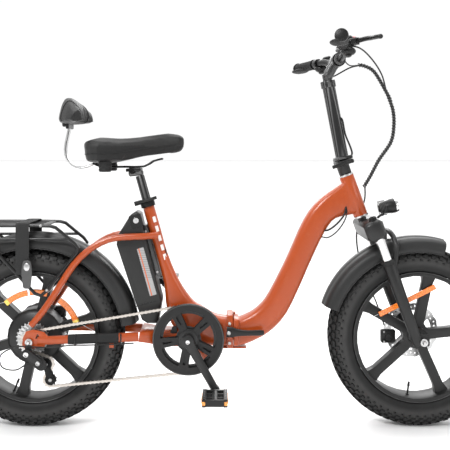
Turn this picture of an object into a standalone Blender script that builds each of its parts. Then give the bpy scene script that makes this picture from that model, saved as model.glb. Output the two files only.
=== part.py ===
"""Folding fat-tyre electric bicycle, +X forward, +Y to the rider's left, +Z up, metres.

The origin is on the ground, midway between the wheels. Each sub-part is one object, and each
moving group hangs from an empty on its joint's axis.
"""

import math

import bmesh
import bpy
from mathutils import Matrix, Vector

# Clearances
GAP = 0.0004  # between touching pieces
RUNNING = 0.0006  # round a shaft in its bore
DETAIL = 16  # sides of a small round piece

# Wheels
WHEELBASE = 1.222
TYRE_RADIUS = 0.2855
TYRE_HALF_WIDTH = 0.050
TYRE_FACETS = 36
TREAD_HALF_WIDTH = 0.029
RIM_RADIUS = 0.207
RIM_DEPTH = 0.012
RIM_HALF_WIDTH = 0.039
AXLE_HEIGHT = TYRE_RADIUS * math.cos(math.pi / TYRE_FACETS)
REAR_X = -WHEELBASE / 2
FRONT_X = WHEELBASE / 2
AXLE_RADIUS = 0.0065
FRONT_SPOKES = 5
REAR_SPOKES = 6
SPOKE_WIDTH = 0.030
SPOKE_THICKNESS = 0.030
HUB_RADIUS = 0.030
MOTOR_RADIUS = 0.088
ROTOR_RADIUS = 0.090
ROTOR_THICKNESS = 0.002
FRONT_ROTOR_Y = 0.0600
REAR_ROTOR_Y = 0.0650

# Fenders
FENDER_HALF_WIDTH = 0.0570
FENDER_THICKNESS = 0.0022
FRONT_FENDER_RADIUS = 0.3185
REAR_FENDER_RADIUS = 0.3310
FENDER_SKIRT = 0.046

# Frame
BRACKET = Vector((-0.119, 0.0, 0.286))
BRACKET_HALF_WIDTH = 0.050
BRACKET_RADIUS = 0.022
CRANK_AXLE_RADIUS = 0.0095
HINGE_X = 0.0220
HINGE_PIN_Y = 0.0560
HINGE_PIN_RADIUS = 0.0040
KNUCKLE_RADIUS = 0.0090
HINGE_PLATE = 0.0200
HINGE_PLATE_HALF_WIDTH = 0.043
HINGE_LEVER = Vector((0.008, -0.054, 0.305))
SEAT_TUBE_TOP = Vector((-0.254, 0.0, 0.7087))
SEAT_TUBE_FOOT = Vector((-0.175, 0.0, 0.428))
SEAT_TUBE_RADIUS = 0.0185
SEATPOST_RADIUS = 0.0145
SEATPOST_INSERTION = 0.170
SEATPOST_EXPOSED = 0.092
SEAT_BORE_DEPTH = 0.245
STAY_RADIUS = 0.0105
STAY_Y = 0.0885
DROPOUT_THICKNESS = 0.006

# Steering and fork
HEAD_ANGLE = math.radians(20)
HEAD_TOP = Vector((0.386, 0.0, 0.8007))
HEAD_TUBE_LENGTH = 0.1425
HEAD_TUBE_RADIUS = 0.0235
STEERER_RADIUS = 0.0143
STEERER_RISE = 0.0290  # above the head tube, inside the stem base
LEG_Y = 0.0865
LEG_OFFSET = 0.018
STANCHION_RADIUS = 0.0155
LOWER_RADIUS = 0.0205
LOWER_TOP = 0.152  # below the head tube, along the steering axis
STANCHION_INSERTION = 0.060
FORK_TRAVEL = 0.025

# Handlebar
STEM_HINGE_UP = -0.0130  # from the post's foot, along the post
STEM_HINGE_FORWARD = 0.0020
STEM_HINGE_Y = 0.0340
BAR_TURN = math.radians(5)
POST_FOOT = Vector((0.3735, 0.0, 0.8600))
POST_TOP = Vector((0.3300, 0.0, 1.0910))
POST_RADIUS = 0.0205
COLLAR_RADIUS = 0.0240
COLLAR_LENGTH = 0.0215
RISER_RADIUS = 0.0145
RISER_INSERTION = 0.090
BAR_CENTRE = Vector((0.3610, 0.0, 1.1700))
BAR_RADIUS = 0.0110
BAR_CLAMP_RADIUS = 0.0220
GRIP_INNER = Vector((0.3270, 0.205, 1.1860))
GRIP_OUTER = Vector((0.2920, 0.330, 1.1890))
GRIP_RADIUS = 0.0170
BUTTON_RADIUS = 0.0080

# Drive
CRANK_LENGTH = 0.170
CRANK_ANGLE = math.radians(-60)
CHAINRING_RADIUS = 0.1005
CHAINRING_Y = -0.060
CHAINRING_THICKNESS = 0.0028
GUARD_RADIUS = 0.1125
GUARD_Y = -0.0690
GUARD_THICKNESS = 0.004
CHAIN_RADIUS = 0.0042
SMALL_COG_RADIUS = 0.0245
SMALL_COG_Y = -0.0775
CASSETTE_INNER_Y = -0.0465
CASSETTE_RADIUS = 0.052
CASSETTE_COGS = 7
CRANK_Y = -0.086
PEDAL_Y = -0.172
PEDAL_SIZE = Vector((0.076, 0.098, 0.026))
SPINDLE_RADIUS = 0.0055
UPPER_JOCKEY = Vector((-0.5610, -0.0755, 0.2120))
LOWER_JOCKEY = Vector((-0.5480, -0.0755, 0.1637))
JOCKEY_RADIUS = 0.0175

# Luggage rack and battery
RACK_Y = 0.0715
RACK_RADIUS = 0.0055
RACK_TOP = 0.643
RACK_LOW_RAIL = 0.601
RACK_REAR_X = -0.880
STRAP_X = -0.636
STRAP_WIDTH = 0.042
BATTERY_HALF_WIDTH = 0.042
RAIL_THICKNESS = 0.011

UP_AXIS = Vector((0, 0, 1))
LEFT = Vector((0, 1, 0))
STEER_UP = Vector((-math.sin(HEAD_ANGLE), 0, math.cos(HEAD_ANGLE)))
STEER_FORWARD = Vector((math.cos(HEAD_ANGLE), 0, math.sin(HEAD_ANGLE)))
HEAD_FOOT = HEAD_TOP - STEER_UP * HEAD_TUBE_LENGTH
SEAT_UP = (SEAT_TUBE_TOP - SEAT_TUBE_FOOT).normalized()
SEAT_FORWARD = Vector((SEAT_UP.z, 0, -SEAT_UP.x))
POST_UP = (POST_TOP - POST_FOOT).normalized()
POST_FORWARD = Vector((POST_UP.z, 0, -POST_UP.x))
REAR_AXLE = Vector((REAR_X, 0, AXLE_HEIGHT))
FRONT_AXLE = Vector((FRONT_X, 0, AXLE_HEIGHT))

MODEL = None
TOOLS = None
PAINTS = {}


# ---------------------------------------------------------------- scene and materials


def clear_scene():
    for obj in list(bpy.data.objects):
        bpy.data.objects.remove(obj, do_unlink=True)


def new_collection(name):
    collection = bpy.data.collections.new(name)
    bpy.context.scene.collection.children.link(collection)
    return collection


def paint(name, color, roughness=0.5, metallic=0.0):
    """One Principled material, made once and shared by the pieces that wear it."""
    if name not in PAINTS:
        material = bpy.data.materials.new(name)
        material.use_nodes = True
        shader = material.node_tree.nodes["Principled BSDF"]
        shader.inputs["Base Color"].default_value = (*color, 1)
        shader.inputs["Roughness"].default_value = roughness
        shader.inputs["Metallic"].default_value = metallic
        PAINTS[name] = material
    return PAINTS[name]


def orange_paint():
    return paint("orange_paint", (0.58, 0.085, 0.018), 0.35)


def dark_plastic():
    return paint("dark_plastic", (0.035, 0.036, 0.038), 0.5)


def black_metal():
    return paint("black_metal", (0.02, 0.02, 0.022), 0.4, 0.6)


def bright_metal():
    return paint("bright_metal", (0.62, 0.62, 0.60), 0.3, 1.0)


def rubber():
    return paint("rubber", (0.018, 0.018, 0.018), 0.8)


# ---------------------------------------------------------------- shapes


def place(name, data, material):
    obj = bpy.data.objects.new(name, data)
    data.materials.append(material)
    MODEL.objects.link(obj)
    return obj


def mesh_piece(name, bm, material, smooth=40):
    """Turns a bmesh into an object with outward faces, smooth below the given angle."""
    bmesh.ops.recalc_face_normals(bm, faces=bm.faces)
    mesh = bpy.data.meshes.new(name)
    bm.to_mesh(mesh)
    bm.free()
    mesh.shade_smooth()
    mesh.set_sharp_from_angle(angle=math.radians(smooth))
    return place(name, mesh, material)


def aim(obj, start, end):
    """Puts an object midway between two points, its Z axis along them."""
    start = Vector(start)
    end = Vector(end)
    obj.location = (start + end) / 2
    obj.rotation_mode = "QUATERNION"
    obj.rotation_quaternion = (end - start).to_track_quat("Z", "Y")
    return obj


def rod(name, start, end, radius, material, sides=DETAIL, end_radius=None):
    bm = bmesh.new()
    length = (Vector(end) - Vector(start)).length
    far_radius = radius if end_radius is None else end_radius
    bmesh.ops.create_cone(
        bm, cap_ends=True, segments=sides, radius1=radius, radius2=far_radius, depth=length
    )
    return aim(mesh_piece(name, bm, material), start, end)


def block(name, size, location, material, rotation=(0, 0, 0), bevel=0.0):
    bm = bmesh.new()
    bmesh.ops.create_cube(bm, size=1)
    bmesh.ops.scale(bm, vec=Vector(size), verts=bm.verts)
    obj = mesh_piece(name, bm, material)
    obj.location = location
    obj.rotation_euler = rotation
    if bevel:
        soften(obj, bevel)
    return obj


def soften(obj, width, segments=1, angle=40):
    bevel = obj.modifiers.new("soft_edges", "BEVEL")
    bevel.width = width
    bevel.segments = segments
    bevel.limit_method = "ANGLE"
    bevel.angle_limit = math.radians(angle)
    return obj


def turned(name, profile, material, steps=32, closed=False, span=2 * math.pi, start=0.0):
    """Turns a profile of (radius, height) points about Y, height along +Y, at the origin.

    The outer side of the profile runs from its top to its bottom.
    """
    bm = bmesh.new()
    rim = [bm.verts.new((radius, 0, height)) for radius, height in profile]
    for first, second in zip(rim, rim[1:]):
        bm.edges.new((first, second))
    if closed:
        bm.edges.new((rim[-1], rim[0]))
    bmesh.ops.rotate(bm, cent=(0, 0, 0), matrix=Matrix.Rotation(-start, 3, "Z"), verts=bm.verts)
    mesh = bpy.data.meshes.new(name)
    bm.to_mesh(mesh)
    bm.free()
    obj = place(name, mesh, material)
    screw = obj.modifiers.new("turn", "SCREW")
    screw.angle = span
    screw.steps = steps
    screw.render_steps = steps
    screw.use_merge_vertices = span > 6.28
    screw.merge_threshold = 0.00001
    screw.use_smooth_shade = True
    obj.rotation_euler = (-math.pi / 2, 0, 0)
    return obj


def turned_along(name, profile, start, end, material, steps=DETAIL):
    """A turned piece whose height runs from one point towards another."""
    obj = turned(name, profile, material, steps)
    obj.rotation_mode = "QUATERNION"
    obj.rotation_quaternion = (Vector(end) - Vector(start)).to_track_quat("Z", "Y")
    obj.location = start
    return obj


def sleeve(name, start, end, outer, inner, material, steps=DETAIL):
    """A plain ring round the line between two points."""
    length = (Vector(end) - Vector(start)).length
    profile = [(outer, length), (outer, 0), (inner, 0), (inner, length)]
    obj = turned(name, profile, material, steps, closed=True)
    obj.rotation_mode = "QUATERNION"
    obj.rotation_quaternion = (Vector(end) - Vector(start)).to_track_quat("Z", "Y")
    obj.location = start
    return obj


def cup(name, mouth, base, outer, inner, depth, material, steps=DETAIL, base_radius=None):
    """A round piece with a blind bore of the given depth from its mouth."""
    length = (Vector(mouth) - Vector(base)).length
    profile = [
        (inner, length),
        (outer, length),
        (outer if base_radius is None else base_radius, 0),
        (0, 0),
    ]
    bore = [(0, length - depth), (inner, length - depth)]
    return turned_along(name, bore + profile, base, mouth, material, steps)


def smooth_route(points, steps):
    """Catmull-Rom points through a route; each point is a tuple of any length."""
    rows = [Vector(p) for p in points]
    padded = [2 * rows[0] - rows[1], *rows, 2 * rows[-1] - rows[-2]]
    route = []
    for before, start, end, after in zip(padded, padded[1:], padded[2:], padded[3:]):
        for step in range(steps):
            t = step / steps
            route.append(
                0.5
                * (
                    2 * start
                    + (end - before) * t
                    + (2 * before - 5 * start + 4 * end - after) * t * t
                    + (3 * start - before - 3 * end + after) * t**3
                )
            )
    route.append(rows[-1])
    return route


def tube(name, points, radius, material, steps=4, resolution=2, closed=False):
    """A round tube along a smooth route; steps=1 keeps the points as they are."""
    route = [Vector(p) for p in points] if steps == 1 else smooth_route(points, steps)
    curve = bpy.data.curves.new(name, "CURVE")
    curve.dimensions = "3D"
    curve.bevel_depth = radius
    curve.bevel_resolution = resolution
    curve.use_fill_caps = not closed
    spline = curve.splines.new("POLY")
    spline.points.add(len(route) - 1)
    for point, spot in zip(spline.points, route):
        point.co = (*spot, 1)
    spline.use_cyclic_u = closed
    spline.use_smooth = True
    return place(name, curve, material)


def plate(name, outlines, y, thickness, material):
    """A flat plate in the XZ plane; the first outline is the rim and the others are holes."""
    curve = bpy.data.curves.new(name, "CURVE")
    curve.dimensions = "2D"
    curve.fill_mode = "BOTH"
    curve.extrude = thickness / 2
    for outline in outlines:
        spline = curve.splines.new("POLY")
        spline.points.add(len(outline) - 1)
        for point, (across, up) in zip(spline.points, outline):
            point.co = (across, up, 0, 1)
        spline.use_cyclic_u = True
    obj = place(name, curve, material)
    obj.rotation_euler = (math.pi / 2, 0, 0)
    obj.location = (0, y, 0)
    return obj


def solid(obj):
    """Makes a closed mesh of a curve, for cutting or joining."""
    bpy.context.view_layer.update()
    depsgraph = bpy.context.evaluated_depsgraph_get()
    mesh = bpy.data.meshes.new_from_object(obj.evaluated_get(depsgraph))
    bm = bmesh.new()
    bm.from_mesh(mesh)
    bmesh.ops.remove_doubles(bm, verts=bm.verts, dist=0.00002)
    bmesh.ops.recalc_face_normals(bm, faces=bm.faces)
    bm.to_mesh(mesh)
    bm.free()
    name = obj.name
    matrix = obj.matrix_world.copy()
    mesh.materials.clear()
    material = obj.data.materials[0]
    bpy.data.objects.remove(obj, do_unlink=True)
    result = place(name, mesh, material)
    result.matrix_world = matrix
    return result


def section(half_wide, half_deep, corner, per_corner=3):
    """Points round a rectangle with round corners, as (across, deep) pairs."""
    points = []
    for quarter in range(4):
        sign_wide = 1 if quarter in (0, 3) else -1
        sign_deep = 1 if quarter in (0, 1) else -1
        for step in range(per_corner + 1):
            angle = math.pi / 2 * (quarter + step / per_corner)
            wide = sign_wide * (half_wide - corner) + corner * math.cos(angle)
            deep = sign_deep * (half_deep - corner) + corner * math.sin(angle)
            points.append((wide, deep))
    return points


def loft(name, stations, material, steps=4, across=LEFT, per_corner=3, smooth=40):
    """Skins rounded sections along a spine.

    A station is (x, y, z, half width across, half depth, corner radius).
    """
    rows = smooth_route(stations, steps)
    bm = bmesh.new()
    rings = []
    for index, row in enumerate(rows):
        before = rows[max(index - 1, 0)]
        after = rows[min(index + 1, len(rows) - 1)]
        along = (Vector(after[:3]) - Vector(before[:3])).normalized()
        side = (across - along * along.dot(across)).normalized()
        deep = along.cross(side)
        corner = min(row[5], 0.98 * row[3], 0.98 * row[4])
        ring = [
            bm.verts.new(Vector(row[:3]) + side * wide + deep * high)
            for wide, high in section(row[3], row[4], corner, per_corner)
        ]
        rings.append(ring)
    for first, second in zip(rings, rings[1:]):
        count = len(first)
        for i in range(count):
            j = (i + 1) % count
            bm.faces.new((first[i], first[j], second[j], second[i]))
    bm.faces.new(rings[0])
    bm.faces.new(rings[-1])
    return mesh_piece(name, bm, material, smooth)


def as_tool(obj, target):
    """Moves an object to the cutters, tied to the piece that it shapes."""
    MODEL.objects.unlink(obj)
    TOOLS.objects.link(obj)
    obj.hide_render = True
    obj.display_type = "WIRE"
    bpy.context.view_layer.update()
    obj.parent = target
    obj.matrix_parent_inverse = target.matrix_world.inverted()
    return obj


def combine(target, operation, tools):
    if target.type == "CURVE":
        target = solid(target)
    for tool in tools:
        if tool.type == "CURVE":
            tool = solid(tool)
        boolean = target.modifiers.new(tool.name, "BOOLEAN")
        boolean.operation = operation
        boolean.solver = "EXACT"
        boolean.object = as_tool(tool, target)
    return target


def join(target, *tools):
    return combine(target, "UNION", tools)


def cut(target, *tools):
    return combine(target, "DIFFERENCE", tools)


def circle(centre, radius, count=24):
    return [
        (
            centre[0] + radius * math.cos(2 * math.pi * i / count),
            centre[1] + radius * math.sin(2 * math.pi * i / count),
        )
        for i in range(count)
    ]


def mirrored(points):
    """The same route on the other side of the bicycle."""
    return [(p[0], -p[1], *p[2:]) for p in points]


def at_side(point, side):
    """A point on the left (side 1) or the right (side -1)."""
    return Vector((point[0], side * abs(point[1]), point[2]))


def pivot(name, location, parent=None):
    empty = bpy.data.objects.new(name, None)
    empty.empty_display_size = 0.05
    MODEL.objects.link(empty)
    empty.location = location
    if parent:
        hang(parent, empty)
    return empty


def hang(parent, *objects):
    """Parents objects and keeps them where they are."""
    bpy.context.view_layer.update()
    for obj in objects:
        obj.parent = parent
        obj.matrix_parent_inverse = parent.matrix_world.inverted()


# ---------------------------------------------------------------- rear frame


def seat_axis(distance):
    """A point on the seat tube's axis, the given distance below its top."""
    return SEAT_TUBE_TOP - SEAT_UP * distance


def rear_frame():
    orange = orange_paint()
    face = HINGE_X - GAP
    top = seat_axis(0)
    mid = seat_axis(0.17)
    low = seat_axis(0.262) + SEAT_FORWARD * 0.0055
    r = SEAT_TUBE_RADIUS
    beam = loft(
        "rear_frame",
        [
            (face - 0.005, 0, 0.2985, 0.036, 0.0460, 0.020),
            (face - 0.016, 0, 0.2985, 0.036, 0.0460, 0.020),
            (-0.035, 0, 0.3010, 0.034, 0.0490, 0.020),
            (-0.080, 0, 0.3120, 0.031, 0.0560, 0.020),
            (-0.124, 0, 0.3420, 0.028, 0.0560, 0.020),
            (-0.152, 0, 0.3850, 0.024, 0.0430, 0.018),
            (low.x, 0, low.z, 0.021, 0.0240, 0.016),
            (mid.x, 0, mid.z, r, r, 0.018),
            (seat_axis(0.09).x, 0, seat_axis(0.09).z, r, r, 0.018),
            (top.x, 0, top.z, r, r, 0.018),
        ],
        orange,
        steps=3,
    )
    yoke = loft(
        "yoke",
        [
            (-0.2740, 0, 0.2915, 0.0640, 0.0165, 0.007),
            (-0.2480, 0, 0.2880, 0.0570, 0.0185, 0.008),
            (-0.2180, 0, 0.2820, 0.0440, 0.0225, 0.010),
            (-0.1700, 0, 0.2790, 0.0380, 0.0260, 0.012),
            (-0.1000, 0, 0.2800, 0.0340, 0.0290, 0.012),
        ],
        orange,
        steps=2,
        per_corner=2,
    )
    half = LEFT * BRACKET_HALF_WIDTH
    shell = rod("bracket_shell", BRACKET - half, BRACKET + half, BRACKET_RADIUS, orange, 28)
    foot_lean = math.radians(-55)
    foot_end = BRACKET + Vector((math.cos(foot_lean), 0, math.sin(foot_lean))) * 0.100
    foot = rod("stand_foot", BRACKET, foot_end, 0.0105, orange)
    frame = join(beam, yoke, shell, foot, *rear_hinge_parts(orange))
    bore_half = LEFT * (BRACKET_HALF_WIDTH + 0.02)
    bracket_bore = rod(
        "bracket_bore",
        BRACKET - bore_half,
        BRACKET + bore_half,
        CRANK_AXLE_RADIUS + RUNNING,
        orange,
    )
    seat_bore = rod(
        "seat_bore",
        seat_axis(-0.02),
        seat_axis(SEAT_BORE_DEPTH),
        SEATPOST_RADIUS + RUNNING,
        orange,
        24,
    )
    return cut(frame, bracket_bore, seat_bore)


def rear_hinge_parts(material):
    """Hinge plate, bottom ledge, two knuckles with their arms, and the pressed-in pin."""
    face = HINGE_X - GAP
    parts = [
        block(
            "rear_hinge_plate",
            (HINGE_PLATE, 2 * HINGE_PLATE_HALF_WIDTH, 0.104),
            (face - HINGE_PLATE / 2, 0, 0.3035),
            material,
            bevel=0.003,
        ),
        block("latch_ledge", (0.076, 0.030, 0.0060), (0.026, -0.010, 0.2485), material, bevel=0.002),
    ]
    for index, height in enumerate((0.270, 0.334)):
        low = Vector((HINGE_X, HINGE_PIN_Y, height - 0.011))
        high = Vector((HINGE_X, HINGE_PIN_Y, height + 0.011))
        parts.append(rod(f"rear_knuckle_{index}", low, high, KNUCKLE_RADIUS, material, 20))
        parts.append(
            block(
                f"rear_knuckle_arm_{index}",
                (0.013, 0.026, 0.022),
                (face - 0.0075, HINGE_PIN_Y - 0.017, height),
                material,
            )
        )
    pin_foot = Vector((HINGE_X, HINGE_PIN_Y, 0.2600))
    pin_top = Vector((HINGE_X, HINGE_PIN_Y, 0.3440))
    parts.append(rod("hinge_pin", pin_foot, pin_top, HINGE_PIN_RADIUS, material))
    return parts


def chainstay(name, side):
    orange = orange_paint()
    stations = [
        (REAR_X + 0.026, side * STAY_Y, AXLE_HEIGHT + 0.003, 0.0055, 0.0130, 0.005),
        (-0.480, side * 0.0800, 0.2900, 0.0070, 0.0135, 0.006),
        (-0.400, side * 0.0700, 0.2905, 0.0075, 0.0140, 0.006),
        (-0.335, side * 0.0640, 0.2910, 0.0070, 0.0145, 0.006),
        (-0.2765, side * 0.0562, 0.2915, 0.0070, 0.0150, 0.006),
    ]
    stay = loft(name, stations, orange, steps=2, per_corner=2)
    outline = [(-0.022, -0.014), (-0.010, -0.022), (0.046, -0.016), (0.062, 0.012), (0.046, 0.030)]
    outline += [(0.012, 0.038), (-0.010, 0.032), (-0.020, 0.012)]
    window = [(0.018, 0.010), (0.036, 0.010), (0.026, 0.026)]
    rim = [(REAR_X + x, AXLE_HEIGHT + z) for x, z in outline]
    hole = [(REAR_X + x, AXLE_HEIGHT + z) for x, z in window]
    eye = circle((REAR_X, AXLE_HEIGHT), AXLE_RADIUS + RUNNING, 16)
    outlines = [rim, hole[::-1], eye[::-1]]
    dropout = plate(f"{name}_dropout", outlines, side * STAY_Y, DROPOUT_THICKNESS, orange)
    return join(stay, dropout)


def seatstay(name, side):
    route = [
        (REAR_X + 0.0050, STAY_Y, AXLE_HEIGHT + 0.0500),
        (-0.5700, 0.0860, 0.3780),
        (-0.5320, 0.0800, 0.4350),
        (-0.4920, 0.0755, 0.4990),
        (-0.4580, 0.0725, 0.5420),
        (-0.4170, 0.0680, 0.5760),
        (-0.3700, 0.0610, 0.5980),
        (-0.3200, 0.0570, 0.6055),
        (-0.2720, 0.0550, 0.6070),
        (-0.2450, 0.0480, 0.6080),
        (-0.2200, 0.0330, 0.6090),
    ]
    points = [(x, side * y, z) for x, y, z in route]
    stay = tube(name, points, STAY_RADIUS, orange_paint(), steps=2, resolution=2)
    around_tube = SEAT_TUBE_RADIUS + GAP
    tube_room = rod(f"{name}_tube_room", seat_axis(0), seat_axis(0.2), around_tube, orange_paint(), 24)
    axle_room = block(
        f"{name}_dropout_room",
        (0.10, 0.03, 0.06),
        (REAR_X, side * STAY_Y, AXLE_HEIGHT + 0.0085),
        orange_paint(),
    )
    return cut(stay, tube_room, axle_room)


def seat_collar():
    low = seat_axis(0.012)
    high = seat_axis(-0.010)
    black = black_metal()
    lip_foot = seat_axis(-0.0005)
    ring = sleeve("seat_collar", low, high, 0.0235, SEAT_TUBE_RADIUS + GAP, black, 20)
    lip = sleeve("seat_collar_lip", lip_foot, high, 0.022, SEATPOST_RADIUS + RUNNING, black, 20)
    ears = block(
        "seat_collar_ears",
        (0.022, 0.026, 0.014),
        seat_axis(0) - Vector((0.030, 0, 0)),
        black,
        rotation=(0, math.atan2(SEAT_UP.x, SEAT_UP.z), 0),
    )
    return join(ring, lip, ears)


def seat_lever_pivot():
    return seat_axis(0) + Vector((-0.034, -0.019, 0))


def seat_lever():
    spot = seat_lever_pivot()
    return loft(
        "seat_lever",
        [
            (*(spot + Vector((0.000, -0.001, 0.000))), 0.0045, 0.0060, 0.004),
            (*(spot + Vector((0.030, -0.010, 0.009))), 0.0045, 0.0055, 0.004),
            (*(spot + Vector((0.066, -0.011, 0.020))), 0.0040, 0.0050, 0.003),
        ],
        dark_plastic(),
        steps=3,
    )


# ---------------------------------------------------------------- seat


def seatpost():
    top = seat_axis(-SEATPOST_EXPOSED)
    post = rod("seatpost", seat_axis(SEATPOST_INSERTION), top, SEATPOST_RADIUS, black_metal(), 24)
    head = block(
        "seatpost_head",
        (0.046, 0.030, 0.018),
        top + Vector((-0.012, 0, 0.008)),
        black_metal(),
        rotation=(0, math.radians(-6), 0),
        bevel=0.004,
    )
    jaw_spot = top + Vector((-0.010, 0, 0.0195))
    jaw = block("rail_jaw", (0.034, 0.056, 0.010), jaw_spot, black_metal(), bevel=0.002)
    return join(post, head, jaw)


def saddle_rails():
    top = seat_axis(-SEATPOST_EXPOSED)
    height = top.z + 0.0245 + 0.0035 + GAP
    rails = None
    for side in (-1, 1):
        route = [
            (-0.425, side * 0.030, height + 0.012),
            (-0.395, side * 0.024, height),
            (-0.330, side * 0.022, height),
            (-0.265, side * 0.022, height + 0.001),
            (-0.235, side * 0.018, height + 0.018),
            (-0.205, side * 0.012, height + 0.026),
        ]
        rail = tube(f"saddle_rail_{side}", route, 0.0035, bright_metal(), steps=2, resolution=1)
        rails = join(rail, rails) if rails else rail
    crossbars = []
    for label, x, rise, half in (("nose", -0.2065, 0.0255, 0.014), ("tail", -0.418, 0.0095, 0.034)):
        spot = Vector((x, 0, height + rise))
        reach = LEFT * half
        crossbars.append(rod(f"rail_{label}", spot - reach, spot + reach, 0.0034, bright_metal(), 8))
    rails = join(rails, *crossbars)
    rails.name = "saddle_rails"
    return rails


def saddle():
    return loft(
        "saddle",
        [
            (-0.4520, 0, 0.8830, 0.0450, 0.0160, 0.015),
            (-0.4400, 0, 0.8850, 0.0850, 0.0250, 0.022),
            (-0.4000, 0, 0.8880, 0.1050, 0.0290, 0.026),
            (-0.3400, 0, 0.8890, 0.0920, 0.0270, 0.024),
            (-0.2700, 0, 0.8930, 0.0560, 0.0260, 0.022),
            (-0.2000, 0, 0.9020, 0.0300, 0.0260, 0.020),
            (-0.1500, 0, 0.9080, 0.0240, 0.0240, 0.020),
            (-0.1320, 0, 0.9090, 0.0120, 0.0120, 0.010),
        ],
        paint("saddle_cover", (0.02, 0.02, 0.02), 0.6),
        steps=2,
        per_corner=2,
    )


def backrest_strut():
    return loft(
        "backrest_strut",
        [
            (-0.5040, 0, 0.9560, 0.014, 0.0040, 0.003),
            (-0.5120, 0, 0.9200, 0.014, 0.0040, 0.003),
            (-0.5185, 0, 0.8820, 0.014, 0.0040, 0.003),
            (-0.5120, 0, 0.8500, 0.014, 0.0040, 0.003),
            (-0.4930, 0, 0.8310, 0.014, 0.0040, 0.003),
            (-0.4690, 0, 0.8230, 0.014, 0.0040, 0.003),
            (-0.4420, 0, 0.8280, 0.014, 0.0040, 0.003),
            (-0.4250, 0, 0.8360, 0.014, 0.0040, 0.003),
        ],
        bright_metal(),
        steps=2,
        per_corner=1,
    )


def backrest_pad():
    stations = []
    for step in range(-4, 5):
        share = step / 4
        reach = 0.046 * share * share
        thickness = 0.034 - 0.012 * share * share
        height = 0.045 - 0.014 * share**4
        stations.append((-0.505 + reach, 0.108 * share, 1.0060, thickness, height, 0.018))
    return loft(
        "backrest_pad",
        stations,
        paint("saddle_cover", (0.02, 0.02, 0.02), 0.6),
        steps=1,
        across=Vector((1, 0, 0)),
        per_corner=2,
    )


# ---------------------------------------------------------------- battery and rack


def along_seat_tube(height, behind):
    """A point at a height, the given distance behind the seat tube's axis, as (x, z)."""
    below = (SEAT_TUBE_TOP.z - height) / SEAT_UP.z
    axis = seat_axis(below)
    return (axis.x - behind / SEAT_UP.z, height)


def battery_case():
    front = SEAT_TUBE_RADIUS + RAIL_THICKNESS + 3 * GAP
    outline = [
        along_seat_tube(0.400, front + 0.006),
        along_seat_tube(0.632, front),
        (-0.2740, 0.6760),
        (-0.2860, 0.6860),
        (-0.3040, 0.6740),
        (-0.3454, 0.6078),
        (-0.3486, 0.5794),
        (-0.2920, 0.4055),
        (-0.2680, 0.3400),
        (-0.2520, 0.3300),
        (-0.2160, 0.3300),
    ]
    case = solid(plate("battery_case", [outline], 0, 2 * BATTERY_HALF_WIDTH, dark_plastic()))
    soften(case, 0.010, 3)
    lock_room = rod(
        "lock_room",
        (-0.2860, -BATTERY_HALF_WIDTH - 0.01, 0.6560),
        (-0.2860, -BATTERY_HALF_WIDTH + 0.014, 0.6560),
        0.0085 + RUNNING,
        dark_plastic(),
    )
    return cut(case, lock_room)


def battery_lock():
    start = Vector((-0.2860, -BATTERY_HALF_WIDTH + 0.012, 0.6560))
    end = Vector((-0.2860, -BATTERY_HALF_WIDTH - 0.002, 0.6560))
    return rod("battery_lock", start, end, 0.0085, bright_metal(), 20)


def battery_rail():
    near = SEAT_TUBE_RADIUS + GAP
    far = SEAT_TUBE_RADIUS + GAP + RAIL_THICKNESS
    outline = [
        along_seat_tube(0.475, near),
        along_seat_tube(0.640, near),
        along_seat_tube(0.640, far),
        along_seat_tube(0.475, far),
    ]
    return plate("battery_rail", [outline], 0, 0.050, bright_metal())


def rack_loop(name, side):
    y = side * RACK_Y
    route = [
        (RACK_REAR_X, y, RACK_TOP),
        (-0.740, y, RACK_TOP),
        (-0.600, y, RACK_TOP),
        (-0.552, y, RACK_TOP - 0.001),
        (-0.534, y, 0.637),
        (-0.474, y, 0.588),
        (-0.4625, y, 0.573),
        (-0.4670, y, 0.559),
        (-0.5640, y, 0.437),
        (-0.5800, y, 0.424),
        (-0.5980, y, 0.430),
        (-0.7077, y, 0.548),
        (-0.7780, y, 0.624),
    ]
    loop = tube(name, route, RACK_RADIUS, black_metal(), steps=1, resolution=2)
    rear_low = Vector((RACK_REAR_X, y, RACK_LOW_RAIL))
    rail_front = Vector((-0.489, y, RACK_LOW_RAIL))
    low_rail = rod(f"{name}_low_rail", rear_low, rail_front, 0.0045, black_metal(), 8)
    post_foot = rear_low + Vector((0.006, 0, 0))
    post_top = Vector((post_foot.x, y, RACK_TOP))
    upright = rod(f"{name}_upright", post_top, post_foot, 0.0045, black_metal(), 8)
    foot = rod(f"{name}_foot", (-0.7775, y, 0.620), (-0.789, y, RACK_TOP), 0.0050, black_metal(), 8)
    return join(loop, low_rail, upright, foot)


def rack_deck():
    half = RACK_Y - RACK_RADIUS - GAP
    rear = RACK_REAR_X + 0.004
    front = -0.560
    rim = [(rear, -half), (front, -half), (front, half), (rear, half)]
    slots = []
    for row in range(3):
        low = -half + 0.014 + row * (2 * half - 0.016) / 3
        high = low + 0.026
        start = rear + 0.03
        end = front - 0.02
        slots.append([(start, low), (start, high), (end, high), (end, low)])
    deck = plate("rack_deck", [rim, *slots], 0, 0.004, black_metal())
    deck.rotation_euler = (0, 0, 0)
    deck.location = (0, 0, RACK_TOP)
    return deck


def rack_strap():
    out = RACK_Y + RACK_RADIUS + 0.0012
    top = RACK_TOP + RACK_RADIUS + 0.0012
    thick = 0.002
    hem = 0.490
    inner = [(-out, hem), (-out, top), (out, top), (out, hem)]
    out += thick
    top += thick
    outer = [(out, hem), (out, top), (-out, top), (-out, hem)]
    webbing = paint("webbing", (0.03, 0.03, 0.032), 0.8)
    strap = plate("rack_strap", [inner + outer], 0, STRAP_WIDTH, webbing)
    strap.rotation_euler = (math.pi / 2, 0, math.pi / 2)
    strap.location = (STRAP_X, 0, 0)
    return strap


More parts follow.
